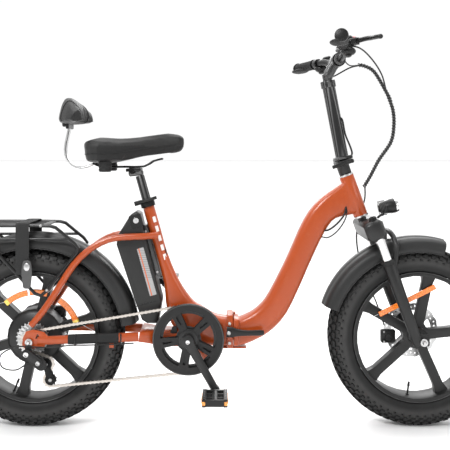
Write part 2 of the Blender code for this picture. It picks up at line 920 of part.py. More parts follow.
def fender(name, axle, radius, start, end, steps):
    """An arched shell over a tyre, from one angle to another above the forward horizontal."""
    half = FENDER_HALF_WIDTH
    profile = [
        (radius - FENDER_SKIRT, half),
        (radius - 0.022, half - 0.0005),
        (radius - 0.009, half - 0.008),
        (radius - 0.001, half - 0.028),
        (radius, 0),
        (radius - 0.001, 0.028 - half),
        (radius - 0.009, 0.008 - half),
        (radius - 0.022, 0.0005 - half),
        (radius - FENDER_SKIRT, -half),
    ]
    shell = turned(name, profile, dark_plastic(), steps, span=end - start, start=end)
    shell.location = axle
    thick = shell.modifiers.new("thickness", "SOLIDIFY")
    thick.thickness = FENDER_THICKNESS
    thick.offset = -1
    return shell


# ---------------------------------------------------------------- wheels


def tyre(name, axle):
    edge = TYRE_HALF_WIDTH
    half = [
        (TYRE_RADIUS, TREAD_HALF_WIDTH),
        (TYRE_RADIUS - 0.009, 0.043),
        (TYRE_RADIUS - 0.030, edge),
        (RIM_RADIUS + 0.0070, RIM_HALF_WIDTH + 0.0030),
        (RIM_RADIUS + 0.0008, RIM_HALF_WIDTH - 0.0030),
        (RIM_RADIUS - 0.0020, RIM_HALF_WIDTH - 0.0034),
    ]
    profile = [(radius, y) for radius, y in half[::-1]] + [(radius, -y) for radius, y in half]
    ring = turned(name, profile, rubber(), TYRE_FACETS, closed=True, start=math.pi / TYRE_FACETS)
    ring.location = axle
    return ring


def rim_ring(name, axle, material):
    width = RIM_HALF_WIDTH
    bed = RIM_RADIUS - 0.0024
    inner = RIM_RADIUS - RIM_DEPTH
    profile = [
        (RIM_RADIUS, width),
        (RIM_RADIUS, width - 0.0026),
        (bed, width - 0.0026),
        (bed, 0.0026 - width),
        (RIM_RADIUS, 0.0026 - width),
        (RIM_RADIUS, -width),
        (inner, -width),
        (inner, width),
    ]
    ring = turned(name, profile, material, TYRE_FACETS, closed=True, start=math.pi / TYRE_FACETS)
    ring.location = axle
    return ring


def spoke_star(name, axle, count, phase, inner_radius, material):
    """A flat star of broad arms that reach into the rim."""
    reach = RIM_RADIUS - RIM_DEPTH + 0.004
    half = SPOKE_WIDTH / 2
    outline = []
    for index in range(count):
        angle = phase + 2 * math.pi * index / count
        along = Vector((math.cos(angle), math.sin(angle)))
        across = Vector((-along.y, along.x))
        gap_angle = angle + math.pi / count
        root = inner_radius
        for distance, offset in ((root, -half), (reach - 0.03, -half), (reach, -1.5 * half)):
            outline.append(tuple(along * distance + across * offset))
        for distance, offset in ((reach, 1.5 * half), (reach - 0.03, half), (root, half)):
            outline.append(tuple(along * distance + across * offset))
        hollow = Vector((math.cos(gap_angle), math.sin(gap_angle))) * (inner_radius * 0.96)
        outline.append(tuple(hollow))
    moved = [(axle.x + x, axle.z + z) for x, z in outline]
    return plate(name, [moved], 0, SPOKE_THICKNESS, material)


def cast_wheel(name, axle, count, phase, hub_profile, hub_radius):
    black = black_metal()
    ring = rim_ring(name, axle, black)
    star = spoke_star(f"{name}_spokes", axle, count, phase, hub_radius + 0.012, black)
    hub = turned(f"{name}_hub", hub_profile, black, 24)
    hub.location = axle
    bore = rod(
        f"{name}_bore", axle - LEFT * 0.12, axle + LEFT * 0.12, AXLE_RADIUS + RUNNING, black, 16
    )
    return cut(join(ring, star, hub), bore)


def front_wheel():
    boss = FRONT_ROTOR_Y - ROTOR_THICKNESS / 2 - GAP
    hub = [(0, boss), (0.020, boss), (0.020, 0.046), (HUB_RADIUS, 0.038)]
    hub += [(HUB_RADIUS, -0.040), (0.016, -0.050), (0.016, -0.060), (0, -0.060)]
    return cast_wheel("front_wheel", FRONT_AXLE, FRONT_SPOKES, math.radians(6), hub, HUB_RADIUS)


def rear_wheel():
    boss = REAR_ROTOR_Y - ROTOR_THICKNESS / 2 - GAP
    motor = MOTOR_RADIUS
    hub = [(0, boss), (0.020, boss), (0.022, 0.046), (motor - 0.012, 0.040), (motor, 0.030)]
    cassette_face = CASSETTE_INNER_Y + GAP
    hub += [(motor, -0.026), (motor - 0.012, -0.038), (0.026, cassette_face), (0, cassette_face)]
    return cast_wheel("rear_wheel", REAR_AXLE, REAR_SPOKES, math.radians(17), hub, motor - 0.012)


def rotor(name, axle, y):
    rim = circle((axle.x, axle.z), ROTOR_RADIUS, 32)
    eye = circle((axle.x, axle.z), AXLE_RADIUS + 0.006, 16)
    windows = []
    for index in range(5):
        start = math.radians(72 * index + 8)
        outer = [start + math.radians(step * 56 / 3) for step in range(4)]
        shape = [(axle.x + 0.072 * math.cos(a), axle.z + 0.072 * math.sin(a)) for a in outer]
        shape += [(axle.x + 0.036 * math.cos(a), axle.z + 0.036 * math.sin(a)) for a in outer[::-1]]
        windows.append(shape)
    return plate(name, [rim, eye, *windows], y, ROTOR_THICKNESS, bright_metal())


def caliper(name, centre, rotor_y, axle, size):
    """A block astride the rotor, with a slot for the disc."""
    body = block(name, size, centre, black_metal(), bevel=0.004)
    slot_half = LEFT * (ROTOR_THICKNESS / 2 + 0.0012)
    middle = Vector((axle.x, rotor_y, axle.z))
    reach = ROTOR_RADIUS + 0.003
    slot = rod(f"{name}_slot", middle - slot_half, middle + slot_half, reach, black_metal(), 48)
    return cut(body, slot)


def rear_axle():
    reach = STAY_Y + DROPOUT_THICKNESS / 2 + GAP
    ends = LEFT * (reach + 0.012)
    axle = rod("rear_axle", REAR_AXLE - ends, REAR_AXLE + ends, AXLE_RADIUS, bright_metal())
    nuts = []
    for side in (-1, 1):
        inner = REAR_AXLE + LEFT * side * reach
        outer = REAR_AXLE + LEFT * side * (reach + 0.008)
        nuts.append(rod(f"axle_nut_{side}", inner, outer, 0.0115, bright_metal(), 6))
    return join(axle, *nuts)


def cassette():
    top = CASSETTE_INNER_Y
    profile = [(0.020, top)]
    pitch = 0.0044
    for cog in range(CASSETTE_COGS):
        share = cog / (CASSETTE_COGS - 1)
        radius = CASSETTE_RADIUS + (SMALL_COG_RADIUS - 0.001 - CASSETTE_RADIUS) * share
        y = top - 0.0015 - cog * pitch
        profile += [(radius, y), (radius, y - 0.0026)]
    last = profile[-1][1]
    bore = AXLE_RADIUS + RUNNING
    profile += [(bore, last), (bore, top)]
    cogs = turned("cassette", profile, bright_metal(), 16, closed=True)
    cogs.location = REAR_AXLE
    return cogs


# ---------------------------------------------------------------- drive


def tangent(first, first_radius, second, second_radius, side):
    """Where a belt leaves one round and meets another, as two (x, z) points; side 1 is the top."""
    line = second - first
    turn = math.acos((first_radius - second_radius) / line.length)
    base = math.atan2(line.y, line.x)
    angle = base + side * turn
    out = Vector((math.cos(angle), math.sin(angle)))
    return first + out * first_radius, second + out * second_radius


def crossing(first, first_radius, second, second_radius, side):
    """Where a belt crosses over from one round to another."""
    line = second - first
    turn = math.acos((first_radius + second_radius) / line.length)
    angle = math.atan2(line.y, line.x) + side * turn
    out = Vector((math.cos(angle), math.sin(angle)))
    return first + out * first_radius, second - out * second_radius


def arc(centre, radius, start, end, count):
    """Points on an arc from one point's direction round to another's, counter-clockwise."""
    begin = math.atan2(start.y - centre.y, start.x - centre.x)
    finish = math.atan2(end.y - centre.y, end.x - centre.x)
    while finish < begin:
        finish += 2 * math.pi
    return [
        centre + Vector((math.cos(a), math.sin(a))) * radius
        for a in (begin + (finish - begin) * step / count for step in range(count + 1))
    ]


def chain():
    """The chain's loop: over the ring, back to the small cog, and round the two jockey wheels."""
    ring = Vector((BRACKET.x, BRACKET.z))
    cog = Vector((REAR_X, AXLE_HEIGHT))
    upper = Vector((UPPER_JOCKEY.x, UPPER_JOCKEY.z))
    lower = Vector((LOWER_JOCKEY.x, LOWER_JOCKEY.z))
    over_ring = CHAINRING_RADIUS + CHAIN_RADIUS + GAP
    over_cog = SMALL_COG_RADIUS + CHAIN_RADIUS + GAP
    over_jockey = JOCKEY_RADIUS + CHAIN_RADIUS + GAP
    ring_top, cog_top = tangent(ring, over_ring, cog, over_cog, -1)
    ring_low, jockey_low = tangent(ring, over_ring, lower, over_jockey, 1)
    cog_side, upper_side = crossing(cog, over_cog, upper, over_jockey, -1)
    upper_foot, lower_side = crossing(upper, over_jockey, lower, over_jockey, 1)
    flat = [(p, CHAINRING_Y) for p in arc(ring, over_ring, ring_low, ring_top, 22)]
    flat += [(p, SMALL_COG_Y) for p in arc(cog, over_cog, cog_top, cog_side, 8)]
    flat += [(p, UPPER_JOCKEY.y) for p in arc(upper, over_jockey, upper_foot, upper_side, 4)[::-1]]
    flat += [(p, LOWER_JOCKEY.y) for p in arc(lower, over_jockey, lower_side, jockey_low, 6)]
    points = [(p.x, y, p.y) for p, y in flat]
    return tube("chain", points, CHAIN_RADIUS, bright_metal(), steps=1, resolution=1, closed=True)


def chainring():
    centre = (BRACKET.x, BRACKET.z)
    rim = circle(centre, CHAINRING_RADIUS, 36)
    eye = circle(centre, CRANK_AXLE_RADIUS + GAP, 16)
    windows = guard_windows(0.040, 0.080)
    return plate("chainring", [rim, eye, *windows], CHAINRING_Y, CHAINRING_THICKNESS, bright_metal())


def guard_windows(inner, outer):
    """Five rounded windows round the bracket."""
    windows = []
    for index in range(5):
        middle = math.radians(80 + 72 * index)
        wide = [middle + math.radians(25) * (step / 2 - 1) for step in range(5)]
        narrow = [middle + math.radians(15) * (step - 1) for step in range(3)]
        shape = [(BRACKET.x + outer * math.cos(a), BRACKET.z + outer * math.sin(a)) for a in wide]
        shape += [(BRACKET.x + inner * math.cos(a), BRACKET.z + inner * math.sin(a)) for a in narrow[::-1]]
        windows.append(shape)
    return windows


def chain_guard():
    centre = (BRACKET.x, BRACKET.z)
    rim = circle(centre, GUARD_RADIUS, 36)
    eye = circle(centre, CRANK_AXLE_RADIUS + GAP, 16)
    windows = guard_windows(0.034, 0.082)
    return plate("chain_guard", [rim, eye, *windows], GUARD_Y, GUARD_THICKNESS, dark_plastic())


def crank_axle():
    half = LEFT * (abs(CRANK_Y) + 0.003)
    return rod("crank_axle", BRACKET - half, BRACKET + half, CRANK_AXLE_RADIUS, bright_metal())


def crank_tip(side):
    angle = CRANK_ANGLE if side < 0 else CRANK_ANGLE + math.pi
    return BRACKET + Vector((math.cos(angle), 0, math.sin(angle))) * CRANK_LENGTH


def crank(name, side):
    """A tapered arm with the pedal's spindle, bored for the crank axle."""
    black = black_metal()
    tip = crank_tip(side)
    y_hub = side * (abs(CRANK_Y) + 0.001)
    y_tip = side * (abs(CRANK_Y) + 0.012)
    arm = loft(
        name,
        [
            (BRACKET.x, y_hub, BRACKET.z, 0.0090, 0.0165, 0.007),
            (*(BRACKET.lerp(tip, 0.5) + LEFT * (y_hub * 0.55 + y_tip * 0.45)), 0.0075, 0.0130, 0.006),
            (tip.x, y_tip, tip.z, 0.0075, 0.0120, 0.006),
        ],
        black,
        steps=2,
        per_corner=2,
    )
    hub_in = Vector((BRACKET.x, side * (abs(GUARD_Y) + GUARD_THICKNESS / 2 + GAP), BRACKET.z))
    hub_out = Vector((BRACKET.x, side * (abs(CRANK_Y) + 0.011), BRACKET.z))
    hub = rod(f"{name}_hub", hub_in, hub_out, 0.0190, black, 16)
    eye_in = tip + LEFT * (y_tip - side * 0.0080)
    eye_out = tip + LEFT * (y_tip + side * 0.0080)
    eye = rod(f"{name}_eye", eye_in, eye_out, 0.0140, black, 14)
    spindle_end = tip + LEFT * side * (abs(PEDAL_Y) + 0.030)
    spindle = rod(f"{name}_spindle", eye_in, spindle_end, SPINDLE_RADIUS, black, 8)
    bore_out = BRACKET + LEFT * side * (abs(CRANK_Y) + 0.003 + GAP)
    bore = rod(f"{name}_bore", BRACKET, bore_out, CRANK_AXLE_RADIUS + 2 * GAP, black, 16)
    return cut(join(arm, hub, eye, spindle), bore)


def pedal(name, side):
    tip = crank_tip(side)
    centre = tip + LEFT * side * abs(PEDAL_Y)
    body = block(name, PEDAL_SIZE, centre, dark_plastic(), bevel=0.004)
    bore_in = centre - LEFT * side * (PEDAL_SIZE.y / 2 + 0.01)
    bore_out = centre + LEFT * side * 0.032
    bore = rod(f"{name}_bore", bore_in, bore_out, SPINDLE_RADIUS + RUNNING, dark_plastic(), 10)
    return cut(body, bore)


def derailleur_body():
    outside = -STAY_Y - DROPOUT_THICKNESS / 2 - GAP
    hanger = Vector((REAR_X - 0.004, outside - 0.010, AXLE_HEIGHT - 0.033))
    knuckle = Vector((UPPER_JOCKEY.x - 0.018, outside - 0.010, UPPER_JOCKEY.z + 0.012))
    body = loft(
        "derailleur_body",
        [
            (*hanger, 0.0095, 0.0120, 0.006),
            (*hanger.lerp(knuckle, 0.5), 0.0100, 0.0145, 0.006),
            (*knuckle, 0.0095, 0.0120, 0.006),
        ],
        black_metal(),
        steps=2,
    )
    hanger_tab = block(
        "hanger_tab",
        (0.022, DROPOUT_THICKNESS, 0.030),
        (REAR_X - 0.001, outside - DROPOUT_THICKNESS / 2, AXLE_HEIGHT - 0.028),
        black_metal(),
        bevel=0.002,
    )
    return join(body, hanger_tab)


def derailleur_cage():
    """Two plates round the jockey wheels, which are joined to them by their pins."""
    black = black_metal()
    out = UPPER_JOCKEY.y - CHAIN_RADIUS - 0.0024
    inside = UPPER_JOCKEY.y + CHAIN_RADIUS + 0.0024
    line = Vector((LOWER_JOCKEY.x - UPPER_JOCKEY.x, LOWER_JOCKEY.z - UPPER_JOCKEY.z))
    along = line.normalized() * 0.012
    across = Vector((-line.y, line.x)).normalized() * 0.0105
    top = Vector((UPPER_JOCKEY.x, UPPER_JOCKEY.z))
    low = Vector((LOWER_JOCKEY.x, LOWER_JOCKEY.z))
    outline = [top - along + across, low + along + across, low + along * 1.4, low + along - across]
    outline += [top - along - across, top - along * 1.4]
    rim = [tuple(p) for p in outline]
    outer = plate("derailleur_cage", [rim], out, 0.002, black)
    inner = plate("cage_inner", [rim], inside, 0.002, black)
    parts = [inner]
    for label, spot in (("upper", UPPER_JOCKEY), ("lower", LOWER_JOCKEY)):
        start = Vector((spot.x, inside, spot.z))
        end = Vector((spot.x, out, spot.z))
        parts.append(rod(f"{label}_jockey_pin", start, end, 0.005, black, 12))
        half = LEFT * 0.0030
        parts.append(rod(f"{label}_jockey", spot - half, spot + half, JOCKEY_RADIUS, black, 20))
    return join(outer, *parts)


# ---------------------------------------------------------------- front frame


def front_frame():
    orange = orange_paint()
    face = HINGE_X + GAP
    head_mid = HEAD_FOOT + STEER_UP * 0.070
    beam = loft(
        "front_frame",
        [
            (face + 0.005, 0, 0.2960, 0.036, 0.0430, 0.020),
            (face + 0.016, 0, 0.2962, 0.036, 0.0430, 0.020),
            (0.066, 0, 0.3050, 0.034, 0.0425, 0.020),
            (0.113, 0, 0.3300, 0.033, 0.0420, 0.020),
            (0.159, 0, 0.3780, 0.032, 0.0410, 0.020),
            (0.2057, 0, 0.4684, 0.031, 0.0385, 0.020),
            (0.238, 0, 0.5390, 0.030, 0.0370, 0.020),
            (0.283, 0, 0.6350, 0.029, 0.0385, 0.020),
            (0.328, 0, 0.6920, 0.027, 0.0400, 0.018),
            (head_mid.x - 0.006, 0, head_mid.z - 0.004, 0.021, 0.0560, 0.014),
        ],
        orange,
        steps=3,
    )
    head = rod("head_tube", HEAD_FOOT, HEAD_TOP, HEAD_TUBE_RADIUS, orange, 28)
    hinge_plate = block(
        "front_hinge_plate",
        (0.018, 2 * HINGE_PLATE_HALF_WIDTH, 0.084),
        (face + 0.009, 0, 0.2995),
        orange,
        bevel=0.003,
    )
    knuckle_low = Vector((HINGE_X, HINGE_PIN_Y, 0.2820))
    knuckle_high = Vector((HINGE_X, HINGE_PIN_Y, 0.3220))
    knuckle = rod("front_knuckle", knuckle_low, knuckle_high, KNUCKLE_RADIUS, orange, 20)
    arm = block(
        "front_knuckle_arm", (0.013, 0.026, 0.040), (face + 0.0075, HINGE_PIN_Y - 0.017, 0.3020), orange
    )
    frame = join(beam, head, hinge_plate, arm, knuckle)
    pin_room = rod(
        "pin_room",
        knuckle_low - UP_AXIS * 0.01,
        knuckle_high + UP_AXIS * 0.01,
        HINGE_PIN_RADIUS + RUNNING,
        orange,
    )
    head_bore = rod(
        "head_bore",
        HEAD_FOOT - STEER_UP * 0.02,
        HEAD_TOP + STEER_UP * 0.02,
        STEERER_RADIUS + RUNNING,
        orange,
        24,
    )
    return cut(frame, pin_room, head_bore)


def hinge_lever():
    lever = loft(
        "hinge_lever",
        [
            (0.001, 0.0, 0.3060, 0.0080, 0.0170, 0.006),
            (0.020, 0.0, 0.3050, 0.0080, 0.0160, 0.006),
            (0.036, 0.0, 0.3040, 0.0070, 0.0110, 0.005),
            (0.070, -0.003, 0.3035, 0.0055, 0.0085, 0.004),
            (0.104, -0.004, 0.3045, 0.0055, 0.0090, 0.004),
            (0.119, -0.004, 0.3050, 0.0045, 0.0070, 0.004),
        ],
        dark_plastic(),
        steps=2,
        per_corner=2,
    )
    lever.location.y = HINGE_LEVER.y
    return lever


# ---------------------------------------------------------------- fork


def fork_point(forward, up, y=0.0):
    """A point in the fork: forward of the steering axis, up along it from the head tube's foot."""
    return HEAD_FOOT + STEER_FORWARD * forward + STEER_UP * up + LEFT * y


def fork_crown():
    silver = bright_metal()
    black = black_metal()
    crown_low = 0.078
    crown_high = 0.012
    centre = fork_point(0.012, -(crown_low + crown_high) / 2)
    crown = block(
        "fork_crown",
        (0.062, 2 * LEG_Y + 0.044, crown_low - crown_high),
        centre,
        black,
        rotation=(0, -HEAD_ANGLE, 0),
        bevel=0.012,
    )
    steerer_top = HEAD_TOP + STEER_UP * STEERER_RISE
    parts = [rod("steerer", fork_point(0, -0.03), steerer_top, STEERER_RADIUS, silver, 24)]
    for side in (-1, 1):
        start = fork_point(LEG_OFFSET, -0.030, side * LEG_Y)
        end = fork_point(LEG_OFFSET, -LOWER_TOP - STANCHION_INSERTION, side * LEG_Y)
        parts.append(rod(f"stanchion_{side}", start, end, STANCHION_RADIUS, silver, 20))
    return join(crown, *parts)


def fork_lowers():
    """Two legs with blind bores, dropout lugs, the arch over the fender, and the axle between."""
    black = black_metal()
    foot_up = (AXLE_HEIGHT - HEAD_FOOT.z - LEG_OFFSET * STEER_FORWARD.z) / STEER_UP.z
    legs = []
    bores = []
    for side in (-1, 1):
        mouth = fork_point(LEG_OFFSET, -LOWER_TOP, side * LEG_Y)
        base = fork_point(LEG_OFFSET, foot_up - 0.010, side * LEG_Y)
        depth = STANCHION_INSERTION + FORK_TRAVEL + 0.006
        deep = mouth - STEER_UP * depth
        legs.append(rod(f"leg_{side}", base, mouth, 0.0155, black, 20, LOWER_RADIUS))
        bores.append(
            rod(f"leg_bore_{side}", deep, mouth + STEER_UP * 0.02, STANCHION_RADIUS + RUNNING, black, 20)
        )
        lug_x = (base.x + FRONT_X) / 2 + 0.004
        lug_centre = Vector((lug_x, side * (LEG_Y - 0.004), AXLE_HEIGHT + 0.002))
        legs.append(block(f"lug_{side}", (0.050, 0.012, 0.036), lug_centre, black, bevel=0.004))
    arch = tube(
        "arch",
        [
            fork_point(LEG_OFFSET + 0.012, -LOWER_TOP - 0.020, LEG_Y),
            fork_point(0.046, -0.142, LEG_Y),
            fork_point(0.061, -0.112, LEG_Y - 0.004),
            fork_point(0.0640, -0.086, 0.064),
            fork_point(0.0645, -0.076, 0.034),
            fork_point(0.0645, -0.074, 0.0),
            fork_point(0.0645, -0.076, -0.034),
            fork_point(0.0640, -0.086, -0.064),
            fork_point(0.061, -0.112, 0.004 - LEG_Y),
            fork_point(0.046, -0.142, -LEG_Y),
            fork_point(LEG_OFFSET + 0.012, -LOWER_TOP - 0.020, -LEG_Y),
        ],
        0.0085,
        black,
        steps=1,
        resolution=2,
    )
    reach = LEFT * (LEG_Y + 0.010)
    axle = rod("front_axle", FRONT_AXLE - reach, FRONT_AXLE + reach, AXLE_RADIUS, bright_metal())
    lowers = cut(join(legs[0], *legs[1:], arch, axle), *bores)
    lowers.name = "fork_lowers"
    return lowers


def headlight_mount():
    return fork_point(0.0475, -0.024)


def headlight():
    light = Vector((0.5200, 0, 0.6960))
    ahead = Vector((math.cos(math.radians(12)), 0, math.sin(math.radians(12))))
    body = turned_along(
        "headlight",
        [
            (0, 0.030),
            (0.019, 0.030),
            (0.0235, 0.026),
            (0.0235, 0.010),
            (0.016, -0.022),
            (0.010, -0.030),
            (0, -0.030),
        ],
        light,
        light + ahead,
        dark_plastic(),
        20,
    )
    mount = headlight_mount()
    arm = tube(
        "headlight_arm",
        [
            mount,
            mount + Vector((0.010, 0, 0.008)),
            light - ahead * 0.012 - UP_AXIS * 0.020,
            light - ahead * 0.010,
        ],
        0.0040,
        black_metal(),
        steps=3,
    )
    return join(body, arm)


# ---------------------------------------------------------------- handlebar, drawn straight ahead


def post_point(up, forward=0.0, y=0.0):
    """A point in the handlepost's frame, from its foot."""
    return POST_FOOT + POST_UP * up + POST_FORWARD * forward + LEFT * y


def stem_base():
    black = black_metal()
    low = HEAD_TOP + STEER_UP * 0.0015
    high = HEAD_TOP + STEER_UP * 0.0440
    clamp = cup("stem_base", low, high, 0.0205, STEERER_RADIUS + GAP, STEERER_RISE, black, 24)
    lean = math.atan2(POST_UP.x, POST_UP.z)
    flange = block(
        "stem_flange",
        (0.056, 0.054, 0.014),
        post_point(STEM_HINGE_UP - 0.007 - GAP, STEM_HINGE_FORWARD),
        black,
        rotation=(0, lean, 0),
        bevel=0.003,
    )
    parts = [flange]
    for end in (-1, 1):
        start = post_point(STEM_HINGE_UP, STEM_HINGE_FORWARD + end * (0.010 + GAP), STEM_HINGE_Y)
        stop = post_point(STEM_HINGE_UP, STEM_HINGE_FORWARD + end * 0.024, STEM_HINGE_Y)
        parts.append(rod(f"stem_knuckle_{end}", start, stop, 0.0060, black, 12))
        parts.append(
            block(
                f"stem_knuckle_arm_{end}",
                (0.0135, 0.016, 0.008),
                post_point(
                    STEM_HINGE_UP - 0.0045 - GAP,
                    STEM_HINGE_FORWARD + end * 0.0172,
                    STEM_HINGE_Y - 0.010,
                ),
                black,
                rotation=(0, lean, 0),
            )
        )
    return join(clamp, *parts)


def handlepost():
    grey = paint("post_grey", (0.10, 0.10, 0.10), 0.35, 0.8)
    lean = math.atan2(POST_UP.x, POST_UP.z)
    length = (POST_TOP - POST_FOOT).length
    foot = post_point(STEM_HINGE_UP + 0.006)
    mouth = post_point(length + COLLAR_LENGTH - 0.010)
    depth = RISER_INSERTION + 0.012
    tube_body = cup("handlepost", mouth, foot, POST_RADIUS, RISER_RADIUS + RUNNING, depth, grey, 24)
    collar = sleeve(
        "collar", post_point(length - 0.010), mouth, COLLAR_RADIUS, RISER_RADIUS + 2 * RUNNING, grey, 24
    )
    flange = block(
        "post_flange",
        (0.054, 0.052, 0.012),
        post_point(STEM_HINGE_UP + 0.006 + GAP, STEM_HINGE_FORWARD),
        grey,
        rotation=(0, lean, 0),
        bevel=0.003,
    )
    knuckle = rod(
        "post_knuckle",
        post_point(STEM_HINGE_UP, -0.0075, STEM_HINGE_Y),
        post_point(STEM_HINGE_UP, 0.0115, STEM_HINGE_Y),
        0.0060,
        grey,
        12,
    )
    arm = block(
        "post_knuckle_arm",
        (0.018, 0.018, 0.008),
        post_point(STEM_HINGE_UP + 0.0045 + GAP, STEM_HINGE_FORWARD, STEM_HINGE_Y - 0.010),
        grey,
        rotation=(0, lean, 0),
    )
    return join(tube_body, collar, flange, arm, knuckle)


def stem_lever_pivot():
    return post_point(STEM_HINGE_UP - 0.006, 0.016, -0.0345)


def stem_lever():
    pivot_spot = stem_lever_pivot()
    tip = post_point(STEM_HINGE_UP - 0.016, -0.046, -0.0400)
    return loft(
        "stem_lever",
        [
            (*pivot_spot, 0.0055, 0.0080, 0.004),
            (*pivot_spot.lerp(tip, 0.45), 0.0050, 0.0070, 0.004),
            (*tip, 0.0045, 0.0055, 0.004),
        ],
        dark_plastic(),
        steps=3,
    )


def riser():
    black = black_metal()
    length = (POST_TOP - POST_FOOT).length
    mouth_up = length + COLLAR_LENGTH - 0.010
    low = post_point(mouth_up - RISER_INSERTION)
    high = post_point(mouth_up + 0.022)
    tube_body = rod("riser", low, high, RISER_RADIUS, black, 24)
    neck = loft(
        "riser_neck",
        [
            (*post_point(mouth_up + 0.010), 0.0150, 0.0160, 0.010),
            (*(post_point(mouth_up + 0.020).lerp(BAR_CENTRE, 0.5)), 0.0160, 0.0160, 0.010),
            (*BAR_CENTRE.lerp(high, 0.12), 0.0170, 0.0170, 0.010),
        ],
        black,
        steps=2,
        per_corner=2,
    )
    half = LEFT * 0.022
    clamp = rod("bar_clamp", BAR_CENTRE - half, BAR_CENTRE + half, BAR_CLAMP_RADIUS, black, 24)
    bore = rod(
        "bar_bore", BAR_CENTRE - half * 2, BAR_CENTRE + half * 2, BAR_RADIUS + GAP, black, 16
    )
    return cut(join(tube_body, neck, clamp), bore)


def bar_tube(name, radius):
    """The bar's own route at any radius: the bar itself, or the room that it needs."""
    inner = GRIP_INNER
    outer = GRIP_INNER.lerp(GRIP_OUTER, 0.93)
    bend = GRIP_INNER.lerp(GRIP_OUTER, -0.50)
    half = [
        (BAR_CENTRE.x, 0.010, BAR_CENTRE.z),
        (BAR_CENTRE.x, 0.060, BAR_CENTRE.z),
        (BAR_CENTRE.x - 0.003, 0.095, BAR_CENTRE.z + 0.005),
        tuple(bend),
        tuple(inner),
        tuple(outer),
    ]
    route = mirrored(half[::-1]) + [tuple(BAR_CENTRE)] + half
    return tube(name, route, radius, black_metal(), steps=2, resolution=2)


def handlebar():
    return bar_tube("handlebar", BAR_RADIUS)


def grip(name, side):
    mouth = at_side(GRIP_INNER, side)
    end = at_side(GRIP_OUTER, side)
    depth = (GRIP_OUTER - GRIP_INNER).length * 0.93 + 0.003
    return cup(name, mouth, end, GRIP_RADIUS, BAR_RADIUS + RUNNING, depth, rubber(), 20, GRIP_RADIUS + 0.003)


def brake_body(name, side):
    """The lever's clamp round the bar, with the housing in front of it."""
    black = dark_plastic()
    start = at_side(GRIP_INNER.lerp(GRIP_OUTER, -0.26), side)
    end = at_side(GRIP_INNER.lerp(GRIP_OUTER, -0.10), side)
    ring = sleeve(name, start, end, 0.0165, BAR_RADIUS + RUNNING, black)
    middle = (start + end) / 2
    housing = block(
        f"{name}_housing",
        (0.030, 0.046, 0.022),
        middle + Vector((0.030, -side * 0.008, 0.012)),
        black,
        rotation=(0, math.radians(-15), 0),
        bevel=0.005,
    )
    tools = [housing]
    if side < 0:
        pod = block(
            "switch_pod",
            (0.040, 0.034, 0.030),
            middle + Vector((0.020, 0.040, 0.020)),
            black,
            rotation=(0, math.radians(-12), 0),
            bevel=0.006,
        )
        bridge = block("pod_bridge", (0.018, 0.040, 0.010), middle + Vector((0.022, 0.022, 0.014)), black)
        tools += [pod, bridge]
    body = join(ring, *tools)
    fork_room = block(
        f"{name}_lever_room",
        (0.0240, 0.060, 0.0110),
        middle + Vector((0.0470, side * 0.006, 0.0145)),
        black,
        rotation=(0, math.radians(-15), 0),
    )
    body = cut(body, fork_room, bar_tube(f"{name}_bar_room", BAR_RADIUS + RUNNING))
    if side < 0:
        well = rod(
            "button_well",
            button_spot() - UP_AXIS * 0.012,
            button_spot() + UP_AXIS * 0.010,
            BUTTON_RADIUS + RUNNING,
            black,
        )
        body = cut(body, well)
    return body


def brake_pivot(side):
    start = at_side(GRIP_INNER.lerp(GRIP_OUTER, -0.18), side)
    return start + Vector((0.0430, side * 0.004, 0.0135))


def brake_lever(name, side):
    pivot_spot = brake_pivot(side)
    return loft(
        name,
        [
            (*pivot_spot, 0.0050, 0.0038, 0.003),
            (*(pivot_spot + Vector((0.018, side * 0.018, 0.006))), 0.0055, 0.0036, 0.003),
            (*(pivot_spot + Vector((0.026, side * 0.050, 0.008))), 0.0060, 0.0036, 0.003),
            (*(pivot_spot + Vector((0.022, side * 0.092, 0.008))), 0.0065, 0.0040, 0.003),
            (*(pivot_spot + Vector((0.024, side * 0.108, 0.008))), 0.0065, 0.0045, 0.004),
        ],
        black_metal(),
        steps=2,
        across=Vector((1, 0, 0)),
        per_corner=2,
    )


def button_spot():
    middle = at_side(GRIP_INNER.lerp(GRIP_OUTER, -0.18), -1)
    return middle + Vector((0.0200, 0.0400, 0.0350))


def horn_button():
    spot = button_spot()
    red = paint("red_button", (0.45, 0.01, 0.02), 0.4)
    return rod("horn_button", spot - UP_AXIS * 0.0070, spot + UP_AXIS * 0.0110, BUTTON_RADIUS, red, 20)


def display():
    black = dark_plastic()
    centre = BAR_CENTRE + Vector((0.026, 0, 0.046))
    body = block(
        "display",
        (0.052, 0.078, 0.016),
        centre,
        black,
        rotation=(0, math.radians(-22), 0),
        bevel=0.005,
    )
    strut_spot = BAR_CENTRE + Vector((0.017, 0, 0.026))
    strut = block("display_strut", (0.014, 0.072, 0.030), strut_spot, black)
    half = LEFT * 0.024
    around_clamp = BAR_CLAMP_RADIUS + 2 * GAP
    room = rod("display_clamp_room", BAR_CENTRE - half, BAR_CENTRE + half, around_clamp, black, 24)
    rings = []
    for side in (-1, 1):
        start = BAR_CENTRE + LEFT * side * 0.0265
        end = BAR_CENTRE + LEFT * side * 0.0355
        rings.append(rod(f"display_ring_{side}", start, end, 0.0185, black))
    bar_room = bar_tube("display_bar_room", BAR_RADIUS + RUNNING)
    return cut(join(body, strut, *rings), room, bar_room)


def cable_bundle():
    """The spiral-wrapped cables, from under the display round to the front of the head tube."""
    route = [
        (0.4250, 0.0, 1.1540),
        (0.4480, 0.0, 1.1500),
        (0.4799, 0.0, 1.1290),
        (0.5218, 0.0, 1.0571),
        (0.5379, 0.0, 1.0087),
        (0.5412, 0.0, 0.9603),
        (0.5315, 0.0, 0.9055),
        (0.4928, 0.0, 0.8474),
        (0.4650, 0.0, 0.7950),
        (0.4440, 0.0, 0.7600),
    ]
    return tube("cable_bundle", route, 0.0065, rubber(), steps=3, resolution=2)


